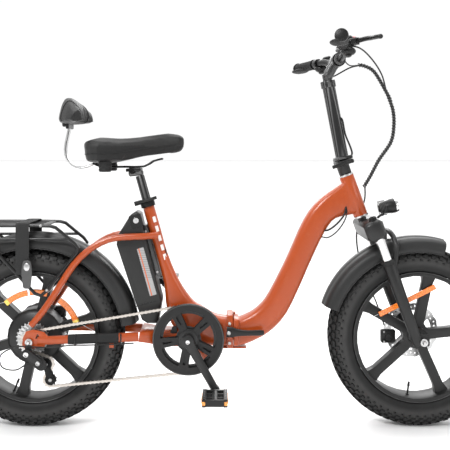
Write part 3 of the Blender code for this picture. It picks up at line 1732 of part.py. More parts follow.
# ---------------------------------------------------------------- assembly


def build_rear():
    root = pivot("rear_frame_group", (0, 0, 0))
    fixed = [
        rear_frame(),
        chainstay("right_chainstay", -1),
        chainstay("left_chainstay", 1),
        seatstay("right_seatstay", -1),
        seatstay("left_seatstay", 1),
        seat_collar(),
        fender("rear_fender", REAR_AXLE, REAR_FENDER_RADIUS, math.radians(8), math.radians(149), 20),
        rack_loop("rack_right", -1),
        rack_loop("rack_left", 1),
        rack_deck(),
        rack_strap(),
        battery_rail(),
        caliper(
            "rear_caliper",
            REAR_AXLE + Vector((0.060, 0.0650, 0.060)),
            REAR_ROTOR_Y,
            REAR_AXLE,
            (0.040, 0.0220, 0.038),
        ),
        derailleur_body(),
        chain(),
        rear_axle(),
    ]
    hang(root, *fixed)
    battery_group = pivot("battery_group", BRACKET.lerp(SEAT_TUBE_TOP, 0.6), root)
    hang(battery_group, battery_case())
    lock = battery_lock()
    hang(pivot("lock_group", lock.location, battery_group), lock)
    seat_group = pivot("seat_group", seat_axis(0), root)
    hang(seat_group, seatpost(), saddle_rails(), saddle(), backrest_strut(), backrest_pad())
    hang(pivot("seat_lever_group", seat_lever_pivot(), root), seat_lever())
    wheel_group = pivot("rear_wheel_group", REAR_AXLE, root)
    rear_disc = rotor("rear_rotor", REAR_AXLE, REAR_ROTOR_Y)
    hang(wheel_group, tyre("rear_tyre", REAR_AXLE), rear_wheel(), rear_disc)
    hang(pivot("cassette_group", REAR_AXLE, root), cassette())
    hang(pivot("cage_group", UPPER_JOCKEY, root), derailleur_cage())
    crank_group = pivot("crank_group", BRACKET, root)
    hang(
        crank_group,
        crank_axle(),
        chainring(),
        chain_guard(),
        crank("right_crank", -1),
        crank("left_crank", 1),
    )
    hang(pivot("right_pedal_group", crank_tip(-1), crank_group), pedal("right_pedal", -1))
    hang(pivot("left_pedal_group", crank_tip(1), crank_group), pedal("left_pedal", 1))
    return root


def build_front(root):
    front_group = pivot("front_frame_group", (HINGE_X, HINGE_PIN_Y, 0.3), root)
    hang(front_group, front_frame())
    hang(pivot("hinge_lever_group", HINGE_LEVER, root), hinge_lever())
    steering = pivot("steering_group", HEAD_TOP, front_group)
    crown = fork_crown()
    shell = fender(
        "front_fender", FRONT_AXLE, FRONT_FENDER_RADIUS, math.radians(74), math.radians(161.5), 14
    )
    hang(steering, crown, shell)
    light = headlight()
    hang(pivot("headlight_group", headlight_mount(), steering), light)
    hang(steering, cable_bundle())
    lowers = pivot("lowers_group", FRONT_AXLE, steering)
    block_spot = FRONT_AXLE + Vector((-0.076, FRONT_ROTOR_Y + 0.0005, -0.020))
    hang(
        lowers,
        fork_lowers(),
        caliper("front_caliper", block_spot, FRONT_ROTOR_Y, FRONT_AXLE, (0.048, 0.0230, 0.044)),
    )
    wheel_group = pivot("front_wheel_group", FRONT_AXLE, lowers)
    front_disc = rotor("front_rotor", FRONT_AXLE, FRONT_ROTOR_Y)
    hang(wheel_group, tyre("front_tyre", FRONT_AXLE), front_wheel(), front_disc)
    return steering


def build_handlebar(steering):
    """The bars are drawn straight ahead, then turned together about the steering axis."""
    turn = pivot("bar_turn", (0, 0, 0))
    base = stem_base()
    post_group = pivot("post_group", post_point(STEM_HINGE_UP, STEM_HINGE_FORWARD, STEM_HINGE_Y), turn)
    bars_group = pivot("bars_group", POST_TOP, post_group)
    hang(turn, base)
    hang(pivot("stem_lever_group", stem_lever_pivot(), turn), stem_lever())
    hang(post_group, handlepost())
    hang(bars_group, riser(), handlebar(), display())
    for side, label in ((-1, "right"), (1, "left")):
        hang(bars_group, grip(f"{label}_grip", side), brake_body(f"{label}_brake_body", side))
        lever_group = pivot(f"{label}_brake_group", brake_pivot(side), bars_group)
        hang(lever_group, brake_lever(f"{label}_brake_lever", side))
    hang(pivot("horn_group", button_spot(), bars_group), horn_button())
    about = Matrix.Translation(HEAD_TOP) @ Matrix.Rotation(BAR_TURN, 4, STEER_UP)
    turn.matrix_world = about @ Matrix.Translation(-HEAD_TOP)
    hang(steering, turn)


def main():
    global MODEL, TOOLS
    clear_scene()
    MODEL = new_collection("folding_bicycle")
    TOOLS = new_collection("cutters")
    TOOLS.hide_render = True
    root = build_rear()
    steering = build_front(root)
    build_handlebar(steering)
    bpy.context.view_layer.update()


main()
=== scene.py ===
"""Looks of the folding fat-tyre bicycle: surfaces, soft parts, tread, drive train and small fittings."""

import math

import bmesh
import bpy
from mathutils import Matrix, Vector


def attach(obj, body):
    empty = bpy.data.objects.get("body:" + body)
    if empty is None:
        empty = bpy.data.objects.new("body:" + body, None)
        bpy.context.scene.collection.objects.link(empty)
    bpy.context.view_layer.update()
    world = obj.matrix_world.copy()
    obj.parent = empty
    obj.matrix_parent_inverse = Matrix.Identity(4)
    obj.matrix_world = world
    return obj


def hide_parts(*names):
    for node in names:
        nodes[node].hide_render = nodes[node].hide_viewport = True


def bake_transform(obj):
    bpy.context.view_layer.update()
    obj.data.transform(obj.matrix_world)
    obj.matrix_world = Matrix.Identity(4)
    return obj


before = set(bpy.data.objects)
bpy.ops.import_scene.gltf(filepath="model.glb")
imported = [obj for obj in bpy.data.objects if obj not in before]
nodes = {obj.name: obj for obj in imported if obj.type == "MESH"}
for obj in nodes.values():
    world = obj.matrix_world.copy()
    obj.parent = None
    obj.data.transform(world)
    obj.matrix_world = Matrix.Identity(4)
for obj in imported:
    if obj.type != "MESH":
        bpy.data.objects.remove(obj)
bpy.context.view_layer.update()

LEFT = Vector((0, 1, 0))
UP = Vector((0, 0, 1))
TAU = 2 * math.pi
HALF_WHEELBASE = 0.611
AXLE_HEIGHT = 0.2844
REAR_AXLE = Vector((-HALF_WHEELBASE, 0, AXLE_HEIGHT))
FRONT_AXLE = Vector((HALF_WHEELBASE, 0, AXLE_HEIGHT))
WHEELS = (("rear", REAR_AXLE), ("front", FRONT_AXLE))
SIDES = (("right", -1), ("left", 1))
BRACKET = Vector((-0.119, 0, 0.286))
HEAD_TOP = Vector((0.386, 0, 0.8007))
HEAD_ANGLE = math.radians(20)
STEER_UP = Vector((-math.sin(HEAD_ANGLE), 0, math.cos(HEAD_ANGLE)))
STEER_FORWARD = Vector((math.cos(HEAD_ANGLE), 0, math.sin(HEAD_ANGLE)))
HEAD_TUBE_LENGTH = 0.1425
HEAD_FOOT = HEAD_TOP - STEER_UP * HEAD_TUBE_LENGTH
SEAT_TOP = Vector((-0.254, 0, 0.7087))
SEAT_UP = Vector((-0.2709, 0, 0.9626)).normalized()
SEAT_FORWARD = Vector((SEAT_UP.z, 0, -SEAT_UP.x))
BAR_CENTRE = Vector((0.3610, 0, 1.1700))
GRIP_INNER = Vector((0.3270, 0.205, 1.1860))
GRIP_OUTER = Vector((0.2920, 0.330, 1.1890))
BARS_TURNED = math.radians(5)
BAR_TURN = (
    Matrix.Translation(HEAD_TOP)
    @ Matrix.Rotation(BARS_TURNED, 4, STEER_UP)
    @ Matrix.Translation(-HEAD_TOP)
)


# ---------------------------------------------------------------- finishes


class Value:
    """A value that varies over a surface; arithmetic on it adds Math nodes."""

    def __init__(self, finish, socket):
        self.finish = finish
        self.socket = socket

    def math(self, operation, first, second=None):
        """One Math node on one or two values."""
        return self.finish.node("ShaderNodeMath", {"operation": operation}, {0: first, 1: second})

    def __add__(self, other):
        return self.math("ADD", self, other)

    def __sub__(self, other):
        return self.math("SUBTRACT", self, other)

    def __rsub__(self, other):
        return self.math("SUBTRACT", other, self)

    def __mul__(self, other):
        return self.math("MULTIPLY", self, other)

    def sine(self):
        return self.math("SINE", self)

    def size(self):
        """The value without its sign."""
        return self.math("ABSOLUTE", self)

    __radd__ = __add__
    __rmul__ = __mul__


class Finish:
    """A material in the making."""

    def __init__(self, name):
        self.material = bpy.data.materials.new(name)
        self.material.use_nodes = True
        self.tree = self.material.node_tree
        self.shader = self.tree.nodes["Principled BSDF"]
        self.at = self.node("ShaderNodeTexCoord", output="Object")

    def put(self, socket, value):
        """Links a value to a socket, or sets a constant on it."""
        if isinstance(value, Value):
            self.tree.links.new(value.socket, socket)
        elif value is not None:
            socket.default_value = value

    def node(self, kind, settings=None, inputs=None, output=0):
        """One node of a type, with its settings and what its sockets are given."""
        made = self.tree.nodes.new(kind)
        for name, value in (settings or {}).items():
            setattr(made, name, value)
        for key, value in (inputs or {}).items():
            self.put(made.inputs[key], value)
        return Value(self, made.outputs[output])

    def noise(self, scale, detail=3.0, stretch=None):
        """Soft noise; stretch crowds it along X, Y and Z."""
        where = self.at
        if stretch:
            where = self.node(
                "ShaderNodeVectorMath", {"operation": "MULTIPLY"}, {0: self.at, 1: stretch}
            )
        return self.node("ShaderNodeTexNoise", {}, {"Vector": where, "Scale": scale, "Detail": detail})

    def cells(self, scale, feature="F1"):
        """Small cells, or the distance to their edges."""
        return self.node("ShaderNodeTexVoronoi", {"feature": feature}, {"Vector": self.at, "Scale": scale})

    def part(self, index):
        """One coordinate of the surface's place: 0, 1 or 2 for X, Y or Z."""
        return self.node("ShaderNodeSeparateXYZ", {}, {0: self.at}, index)

    def away(self, centre, kept=None):
        """Distance from a point, or from a line through it along Y when kept is (1, 0, 1)."""
        offset = self.node("ShaderNodeVectorMath", {"operation": "SUBTRACT"}, {0: self.at, 1: centre})
        if kept:
            offset = self.node("ShaderNodeVectorMath", {"operation": "MULTIPLY"}, {0: offset, 1: kept})
        return self.node("ShaderNodeVectorMath", {"operation": "LENGTH"}, {0: offset}, "Value")

    def band(self, value, low, high):
        """0 below low, 1 above high, smooth between."""
        inputs = {"Value": value, "From Min": low, "From Max": high}
        return self.node("ShaderNodeMapRange", {"interpolation_type": "SMOOTHSTEP"}, inputs)

    def blend(self, share, first, second):
        """Mixes two colours: the first at 0, the second at 1."""
        made = self.tree.nodes.new("ShaderNodeMix")
        made.data_type = "RGBA"
        colours = [s for s in made.inputs if s.type == "RGBA"]
        self.put(made.inputs["Factor"], share)
        for socket, value in zip(colours, (first, second)):
            self.put(socket, value if isinstance(value, Value) else (*value, 1))
        return Value(self, next(s for s in made.outputs if s.type == "RGBA"))

    def bump(self, height, strength, distance):
        """Fine relief for the shader's Normal."""
        inputs = {"Height": height, "Strength": strength, "Distance": distance}
        return self.node("ShaderNodeBump", {}, inputs)

    def done(self, **sockets):
        """Fills the shader's sockets and gives the material."""
        for name, value in sockets.items():
            self.put(self.shader.inputs[name.replace("_", " ")], value)
        return self.material


def shade(grey, warm=0.0):
    """A grey, or a slightly warm one."""
    return (grey * (1 + warm), grey, grey * (1 - warm))


def gloss_paint(name, deep, light):
    """Sprayed gloss paint: a faint orange peel, a slow drift of tone and a little dust."""
    f = Finish(name)
    drift = f.noise(3.5, 2)
    peel = f.noise(700, 2)
    dust = f.band(f.noise(60, 5), 0.52, 0.78)
    colour = f.blend(drift, deep, light)
    colour = f.blend(dust * 0.05, colour, (0.60, 0.30, 0.16))
    return f.done(
        Base_Color=colour,
        Roughness=0.27 + 0.10 * dust + 0.05 * peel,
        Coat_Weight=0.35,
        Coat_Roughness=0.12,
        Specular_IOR_Level=0.35,
        Normal=f.bump(peel, 0.06, 0.0006),
    )


WORN = 0.06


def moulded(name, grey, rough, grain=1400):
    """Moulded plastic with a fine spark-eroded grain and a little polish where it is handled."""
    f = Finish(name)
    grit = f.noise(grain, 3)
    cloud = f.noise(22, 4)
    return f.done(
        Base_Color=f.blend(cloud, shade(grey * 0.82), shade(grey * 1.22)),
        Roughness=rough - WORN + 2 * WORN * cloud,
        Specular_IOR_Level=0.32,
        Normal=f.bump(grit, 0.22, 0.0004),
    )


def cast_black(name, grey=0.009, rough=0.38):
    """Powder-coated casting: satin, with a soft pebble."""
    f = Finish(name)
    pebble = f.noise(420, 3)
    cloud = f.noise(14, 3)
    return f.done(
        Base_Color=f.blend(cloud, shade(grey * 0.8), shade(grey * 1.5)),
        Roughness=rough - 0.05 + 0.14 * cloud,
        Specular_IOR_Level=0.38,
        Normal=f.bump(pebble, 0.12, 0.0005),
    )


def metal(name, bright, dull, rough, lines, strength=0.12, warm=0.0):
    """Metal with fine machining lines; lines gives the stretch of the scratches."""
    f = Finish(name)
    scratch = f.noise(60, 4, lines)
    cloud = f.noise(9, 3)
    return f.done(
        Base_Color=f.blend(scratch, shade(dull, warm), shade(bright, warm)),
        Metallic=1.0,
        Roughness=rough - 0.05 + 0.10 * cloud + 0.08 * scratch,
        Normal=f.bump(scratch, strength, 0.0004),
    )


FLUTE_RATE = 1150.0


def fluted_tube():
    """Grey anodised tube with shallow flutes along its length; their grooves are painted dark as shade."""
    f = Finish("fluted_anodised_grey")
    flute_relief_and_shade = f.band((f.part(1) * FLUTE_RATE).sine(), -0.2, 0.9)
    scratch = f.noise(70, 4, (0.4, 8, 0.4))
    return f.done(
        # Painted shade: the flute grooves are coloured near black, the ridges keep the grey.
        Base_Color=f.blend(flute_relief_and_shade, shade(0.030), f.blend(scratch, shade(0.11), shade(0.17))),
        Metallic=0.85,
        Roughness=0.32 + 0.12 * scratch,
        Normal=f.bump(flute_relief_and_shade, 0.45, 0.0012),
    )


def tyre_rubber():
    """Tread rubber, dusty on the crown and smoother towards the shoulders, where a lighter grey is painted
    on as sheen.
    """
    f = Finish("tyre_rubber")
    depth = f.noise(180, 4)
    dust = f.band(f.noise(26, 5), 0.45, 0.75)
    side = f.band(f.part(1).size(), 0.036, 0.047)
    colour = f.blend(dust * 0.5, shade(0.008), shade(0.024, 0.05))
    # Painted sheen: the shoulder blocks are coloured a lighter grey.
    colour = f.blend(side * 0.45, colour, shade(0.022))
    return f.done(
        Base_Color=colour,
        Roughness=0.74 - 0.18 * side + 0.12 * dust,
        Specular_IOR_Level=0.30,
        Normal=f.bump(depth, 0.25, 0.0008),
    )


def tyre_side():
    """The smooth sidewall: fine ribs round the wheel, and a faint band painted lighter round it as sheen.
    """
    f = Finish("tyre_sidewall")
    rear = f.away(tuple(REAR_AXLE), (1, 0, 1))
    front = f.away(tuple(FRONT_AXLE), (1, 0, 1))
    radius = f.node("ShaderNodeMath", {"operation": "MINIMUM"}, {0: rear, 1: front})
    ribs = (radius * 1800.0).sine()
    dust = f.band(f.noise(30, 5), 0.42, 0.78)
    painted_sheen = f.band(radius, 0.222, 0.240) * (1 - f.band(radius, 0.252, 0.270))
    # Painted sheen: a lighter grey band round the sidewall.
    colour = f.blend(painted_sheen * 0.7 + dust * 0.25, shade(0.006), shade(0.040, 0.02))
    return f.done(
        Base_Color=colour,
        Roughness=0.56 - 0.12 * painted_sheen + 0.12 * dust,
        Specular_IOR_Level=0.32,
        Normal=f.bump(ribs * 0.5 + dust, 0.18, 0.0006),
    )


def fender_plastic():
    """Satin dark plastic, with a painted highlight: a lighter crown along the middle of the arch."""
    f = Finish("fender_plastic")
    crown = 1 - f.band(f.part(1).size(), 0.010, 0.030)
    grit = f.noise(1100, 3)
    cloud = f.noise(12, 3)
    colour = f.blend(cloud, shade(0.013), shade(0.020))
    # Painted highlight along the middle rib of the arch.
    colour = f.blend(crown * 0.30, colour, shade(0.045))
    return f.done(
        Base_Color=colour,
        Roughness=0.40 + 0.10 * cloud,
        Specular_IOR_Level=0.35,
        Normal=f.bump(grit, 0.14, 0.0004),
    )


def leatherette():
    """Pebbled black leatherette, polished where the rider sits."""
    f = Finish("saddle_leatherette")
    pebble = f.cells(420, "DISTANCE_TO_EDGE")
    fold = f.noise(55, 4)
    polish = f.band(f.noise(9, 3), 0.35, 0.7)
    crease_shade = 1 - f.band(pebble, 0.0, 0.22)
    colour = f.blend(polish, shade(0.010), shade(0.020, 0.03))
    # Painted shade: the creases between the pebbles are darkened.
    colour = f.blend(crease_shade * 0.5, colour, shade(0.003))
    return f.done(
        Base_Color=colour,
        Roughness=0.46 + 0.16 * polish - 0.08 * crease_shade,
        Specular_IOR_Level=0.36,
        Normal=f.bump(0.5 * f.band(pebble, 0.0, 0.2) + 0.35 * fold, 0.35, 0.0009),
    )


def saddle_panel():
    """The matt side panels, a coarser and greyer hide than the top."""
    f = Finish("saddle_side_panel")
    weave = (f.part(0) * 2600.0).sine() * (f.part(2) * 2600.0).sine()
    cloud = f.noise(20, 3)
    return f.done(
        Base_Color=f.blend(cloud, shade(0.009), shade(0.016)),
        Roughness=0.62 + 0.14 * cloud,
        Specular_IOR_Level=0.30,
        Normal=f.bump(weave, 0.3, 0.0006),
    )


def webbing():
    """A flat plain weave."""
    f = Finish("woven_webbing")
    across = (f.part(0) * 1500.0).sine()
    along = ((f.part(2) + f.part(1)) * 2300.0).sine()
    weave = across * along
    fuzz = f.noise(900, 3)
    return f.done(
        Base_Color=f.blend(f.band(weave + 0.4 * fuzz, -0.5, 1.0), shade(0.008), shade(0.026)),
        Roughness=0.80 + 0.12 * fuzz,
        Normal=f.bump(weave, 0.6, 0.0009),
    )


def reflector(name, deep, bright):
    """A prismatic reflector: small cells under a clear face, each painted lighter away from its middle as
    a glint.
    """
    f = Finish(name)
    prism = f.cells(480)
    painted_glint = f.band(prism, 0.15, 0.75)
    return f.done(
        # Painted glint: each prism cell runs from the deep colour to the bright one.
        Base_Color=f.blend(painted_glint, deep, bright),
        Roughness=0.10 + 0.20 * painted_glint,
        Coat_Weight=1.0,
        Normal=f.bump(prism, 0.5, 0.0008),
    )


LAMP_CENTRE = Vector((0.52, 0, 0.696))
# The middle of the glow painted on the headlight lens.
LENS_PAINTED_GLOW = LAMP_CENTRE + Vector((0.025, 0, 0.0055))


def clear_lens():
    """A ribbed lens with a painted glow: near white in the middle, greyer towards the rim."""
    f = Finish("lamp_lens")
    ribs = (f.part(1) * 1400.0).sine()
    ring = f.away(tuple(LENS_PAINTED_GLOW))
    # Painted glow: near white round the middle of the lens, fading to grey.
    colour = f.blend(f.band(ring, 0.004, 0.020), (0.95, 0.95, 0.90), (0.42, 0.44, 0.46))
    return f.done(
        Base_Color=colour,
        Roughness=0.06 + 0.05 * ribs.size(),
        Coat_Weight=1.0,
        Normal=f.bump(ribs, 0.25, 0.0008),
    )


def screen_glass():
    """A dark, slightly smeared screen."""
    f = Finish("display_glass")
    smear = f.noise(45, 4)
    edge = f.band(f.noise(8, 2), 0.3, 0.7)
    return f.done(
        Base_Color=f.blend(edge, (0.010, 0.012, 0.014), (0.030, 0.034, 0.038)),
        Roughness=0.06 + 0.12 * smear,
        Coat_Weight=1.0,
    )


def label_face():
    """A plain grey label with one thin coloured stripe and rows of plain dashes."""
    f = Finish("battery_label")
    z = f.part(2)
    x = f.part(0)
    lean = x + 0.281 * z
    stripe = f.band((lean + 0.1180).size(), 0.0022, 0.0012)
    rows = f.band((z * 900.0).sine(), 0.35, 0.75) * f.band(z, 0.470, 0.474)
    rows = rows * (1 - f.band(z, 0.560, 0.566))
    wear = f.noise(120, 4)
    colour = f.blend(wear, shade(0.30), shade(0.38))
    colour = f.blend(rows * 0.55, colour, shade(0.10))
    colour = f.blend(stripe, colour, (0.62, 0.12, 0.03))
    return f.done(Base_Color=colour, Roughness=0.42 + 0.1 * wear)


def floor_face():
    """A pale, nearly even floor."""
    f = Finish("studio_floor")
    cloud = f.noise(1.6, 3)
    return f.done(
        Base_Color=f.blend(cloud, shade(0.97), shade(0.99)),
        Roughness=0.72 + 0.10 * cloud,
    )


def red_plastic():
    """Glossy red plastic, a little uneven in tone."""
    f = Finish("horn_red")
    cloud = f.noise(160, 3)
    return f.done(
        Base_Color=f.blend(cloud, (0.42, 0.010, 0.014), (0.60, 0.020, 0.024)),
        Roughness=0.24 + 0.12 * cloud,
        Coat_Weight=0.5,
    )


ORANGE = gloss_paint("orange_paint", (0.34, 0.050, 0.006), (0.40, 0.062, 0.009))
STRIPE = gloss_paint("pale_stripe_paint", (0.74, 0.70, 0.68), (0.82, 0.78, 0.76))
CAST = cast_black("cast_black")
FORGED = cast_black("forged_dark_grey", 0.014, 0.32)
RACK = cast_black("rack_black", 0.008, 0.30)
GREY = metal("anodised_grey", 0.12, 0.050, 0.34, (0.3, 9, 0.3))
DARK_ALLOY = metal("anodised_black", 0.030, 0.014, 0.34, (6, 6, 0.4))
STEEL = metal("brushed_steel", 0.66, 0.46, 0.28, (1, 14, 1))
CHROME = metal("polished_chrome", 0.78, 0.70, 0.10, (8, 8, 0.6), 0.03)
CHAIN_STEEL = metal("chain_steel", 0.62, 0.40, 0.30, (9, 9, 9), 0.15, 0.08)
COG_STEEL = metal("cog_steel", 0.62, 0.42, 0.26, (4, 30, 4), 0.10)
FLUTED = fluted_tube()
PLASTIC = moulded("black_plastic", 0.009, 0.36)
GREY_PLASTIC = moulded("grey_plastic", 0.070, 0.46)
CASE = moulded("battery_plastic", 0.018, 0.40, 900)
CASE_TOP = moulded("battery_cap_plastic", 0.034, 0.44, 900)
GRIP = moulded("grip_rubber", 0.010, 0.66, 600)
HOSE = moulded("cable_jacket", 0.009, 0.38, 300)
WRAP = moulded("spiral_wrap_plastic", 0.060, 0.30, 300)
FENDER = fender_plastic()
TREAD = tyre_rubber()
SIDEWALL = tyre_side()
HIDE = leatherette()
PANEL = saddle_panel()
WEBBING = webbing()
AMBER = reflector("amber_reflector", (0.42, 0.10, 0.008), (0.95, 0.38, 0.04))
WHEEL_AMBER = reflector("wheel_reflector", (0.62, 0.10, 0.004), (1.0, 0.26, 0.015))
YELLOW = reflector("yellow_reflector", (0.70, 0.42, 0.03), (1.0, 0.75, 0.12))
LENS = clear_lens()
GLASS = screen_glass()
LABEL = label_face()


# ---------------------------------------------------------------- frame nodes

LOOKS = {
    ORANGE: "rear_frame right_chainstay left_chainstay right_seatstay left_seatstay front_frame",
    CAST: "rear_wheel front_wheel fork_lowers stem_base",
    FORGED: "right_crank left_crank derailleur_body rear_caliper front_caliper fork_crown",
    RACK: "rack_right rack_left rack_deck",
    DARK_ALLOY: "seat_collar saddle_rails derailleur_cage",
    GREY: "battery_rail riser",
    FLUTED: "handlepost seatpost",
    STEEL: "rear_axle backrest_strut battery_lock crank_axle",
    PLASTIC: "hinge_lever stem_lever seat_lever right_brake_body left_brake_body headlight",
    GREY_PLASTIC: "display",
    CASE: "battery_case",
}


def dress(node, material, bevel=0.0007):
    """Gives a frame node its finish, whole surfaces, and edges that catch the light."""
    obj = nodes[node]
    obj.data.materials.clear()
    obj.data.materials.append(material)
    obj.data.shade_smooth()
    weld = obj.modifiers.new("whole_surface", "WELD")
    weld.merge_threshold = 0.00002
    if bevel:
        edge = obj.modifiers.new("edge", "BEVEL")
        edge.width = bevel
        edge.segments = 2
        edge.limit_method = "ANGLE"
        edge.angle_limit = math.radians(38)
        edge.harden_normals = True
    split = obj.modifiers.new("crisp_edges", "EDGE_SPLIT")
    split.split_angle = math.radians(42)
    return obj


def repaint(node, material, test):
    """Gives the faces of a frame node that pass a test another finish."""
    obj = nodes[node]
    obj.data.materials.append(material)
    index = len(obj.data.materials) - 1
    for face in obj.data.polygons:
        if test(face.center, face.normal):
            face.material_index = index


for material, names in LOOKS.items():
    for node_name in names.split():
        dress(node_name, material)


def from_steering(point):
    """How far forward of the steering axis and how far up it a point lies."""
    offset = point - HEAD_FOOT
    return offset.dot(STEER_FORWARD), offset.dot(STEER_UP)


def is_stanchion(point, normal):
    """The round faces of the fork's legs below the crown."""
    return from_steering(point)[1] < -0.079 and abs(normal.dot(STEER_UP)) < 0.5


repaint("fork_crown", CHROME, is_stanchion)
repaint("fork_lowers", STEEL, lambda c, n: abs(c.y) < 0.070 and (c - FRONT_AXLE).length < 0.080)
repaint("battery_case", CASE_TOP, lambda c, n: c.z > 0.655 or (c.z > 0.62 and abs(n.y) < 0.5))
repaint("right_crank", STEEL, lambda c, n: c.y < -0.118 and abs(n.y) < 0.9)
repaint("left_crank", STEEL, lambda c, n: c.y > 0.118 and abs(n.y) < 0.9)


# ---------------------------------------------------------------- shapes


def curve_through(points, steps=8):
    """Points along a smooth curve through a route."""
    rows = [Vector(p) for p in points]
    padded = [2 * rows[0] - rows[1], *rows, 2 * rows[-1] - rows[-2]]
    route = []
    for a, b, c, d in zip(padded, padded[1:], padded[2:], padded[3:]):
        for step in range(steps):
            t = step / steps
            linear = (c - a) * t
            square = (2 * a - 5 * b + 4 * c - d) * t * t
            cubic = (3 * b - a - 3 * c + d) * t**3
            route.append((2 * b + linear + square + cubic) / 2)
    route.append(rows[-1])
    return route


def spread_evenly(points, spacing, closed=False):
    """Points at even distances along a route, each with its direction."""
    rows = [Vector(p) for p in points]
    if closed:
        rows.append(rows[0])
    lengths = [(b - a).length for a, b in zip(rows, rows[1:])]
    total = sum(lengths)
    count = max(2, round(total / spacing))
    made = []
    index = 0
    passed = 0.0
    for step in range(count):
        target = total * step / count
        while index < len(lengths) - 1 and passed + lengths[index] < target:
            passed += lengths[index]
            index += 1
        share = (target - passed) / lengths[index] if lengths[index] else 0
        ahead = (rows[index + 1] - rows[index]).normalized()
        made.append((rows[index].lerp(rows[index + 1], share), ahead))
    return made


def placed(at, turn):
    """The matrix that sets a form in its place, turned if asked."""
    return Matrix.Translation(at) @ (turn.to_4x4() if turn else Matrix.Identity(4))


class Shape:
    """A mesh built from simple forms, in the bicycle's own place."""

    def __init__(self):
        self.bm = bmesh.new()

    def rod(self, start, end, radius, sides=24, far=None):
        """A cylinder, or a cone whose radius at the end is far."""
        start = Vector(start)
        end = Vector(end)
        turn = (end - start).to_track_quat("Z", "Y").to_matrix().to_4x4()
        bmesh.ops.create_cone(
            self.bm,
            cap_ends=True,
            segments=sides,
            radius1=radius,
            radius2=radius if far is None else far,
            depth=(end - start).length,
            matrix=Matrix.Translation((start + end) / 2) @ turn,
        )
        return self

    def box(self, size, at, turn=None):
        """A box given by its full size."""
        matrix = placed(at, turn) @ Matrix.Diagonal((*size, 1))
        bmesh.ops.create_cube(self.bm, size=1, matrix=matrix)
        return self

    def ball(self, size, at, turn=None, rings=12):
        """An ellipsoid given by its three radii."""
        matrix = placed(at, turn) @ Matrix.Diagonal((*size, 1))
        bmesh.ops.create_uvsphere(
            self.bm, u_segments=2 * rings, v_segments=rings, radius=1, matrix=matrix
        )
        return self

    def skin(self, rings, closed=False):
        """Faces between rings of points, capped at both ends unless the rings close on themselves."""
        made = [[self.bm.verts.new(p) for p in ring] for ring in rings]
        pairs = list(zip(made, made[1:]))
        if closed:
            pairs.append((made[-1], made[0]))
        for first, second in pairs:
            count = len(first)
            for i in range(count):
                j = (i + 1) % count
                self.bm.faces.new((first[i], first[j], second[j], second[i]))
        if not closed:
            self.bm.faces.new(made[0][::-1])
            self.bm.faces.new(made[-1])
        return self

    def tube(self, points, radius, sides=12):
        """A round tube; radius is a number or a function of the ring's index and angle."""
        rows = [Vector(p) for p in points]
        side = None
        rings = []
        for index, spot in enumerate(rows):
            before = rows[max(index - 1, 0)]
            after = rows[min(index + 1, len(rows) - 1)]
            ahead = (after - before).normalized()
            if side is None:
                side = ahead.orthogonal().normalized()
            side = (side - ahead * side.dot(ahead)).normalized()
            other = ahead.cross(side)
            ring = []
            for step in range(sides):
                angle = TAU * step / sides
                reach = radius(index, angle) if callable(radius) else radius
                ring.append(spot + (side * math.cos(angle) + other * math.sin(angle)) * reach)
            rings.append(ring)
        return self.skin(rings)

    def turned(self, profile, centre, axis=LEFT, steps=64, span=TAU, start=0.0):
        """A profile of (radius, height) points turned about an axis; start is measured from +X up."""
        turn = Vector(axis).to_track_quat("Z", "Y").to_matrix()
        if Vector(axis) == LEFT:
            turn = Matrix(((1, 0, 0), (0, 0, 1), (0, 1, 0)))
        whole = abs(span - TAU) < 0.001
        rings = []
        for step in range(steps if whole else steps + 1):
            angle = start + span * step / steps
            rings.append(
                [
                    Vector(centre) + turn @ Vector((r * math.cos(angle), r * math.sin(angle), h))
                    for r, h in profile
                ]
            )
        return self.skin(rings, whole)

    def slab(self, outline, low, high):
        """An outline of (along, up) points, between two places across the bicycle."""
        return self.skin([[Vector((x, across, z)) for x, z in outline] for across in (low, high)])

    def piece(self, name, material, body, bevel=0.0, segments=2, smooth=42, turned_bar=False):
        """Ends the mesh and lets it ride on a body of the frame."""
        bmesh.ops.remove_doubles(self.bm, verts=self.bm.verts, dist=0.00001)
        bmesh.ops.recalc_face_normals(self.bm, faces=self.bm.faces)
        if turned_bar:
            self.bm.transform(BAR_TURN)
        mesh = bpy.data.meshes.new(name)
        self.bm.to_mesh(mesh)
        self.bm.free()
        mesh.shade_smooth()
        if not bevel:
            mesh.set_sharp_from_angle(angle=math.radians(smooth))
        mesh.materials.append(material)
        obj = bpy.data.objects.new(name, mesh)
        bpy.context.scene.collection.objects.link(obj)
        if bevel:
            edge = obj.modifiers.new("edge", "BEVEL")
            edge.width = bevel
            edge.segments = segments
            edge.limit_method = "ANGLE"
            edge.angle_limit = math.radians(35)
            edge.harden_normals = True
        if body:
            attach(obj, body)
        return obj


def turn_about(axis, degrees):
    """A turn about X, Y or Z."""
    return Matrix.Rotation(math.radians(degrees), 3, axis)


def round_outline(points, radius, steps=5):
    """Rounds the corners of a flat outline."""
    made = []
    count = len(points)
    for index in range(count):
        before, here, after = (Vector(points[(index + k) % count]) for k in (-1, 0, 1))
        reach = min(radius, (before - here).length * 0.45, (after - here).length * 0.45)
        start = here + (before - here).normalized() * reach
        end = here + (after - here).normalized() * reach
        for step in range(steps + 1):
            t = step / steps
            made.append(tuple(start.lerp(here, t).lerp(here.lerp(end, t), t)))
    return made


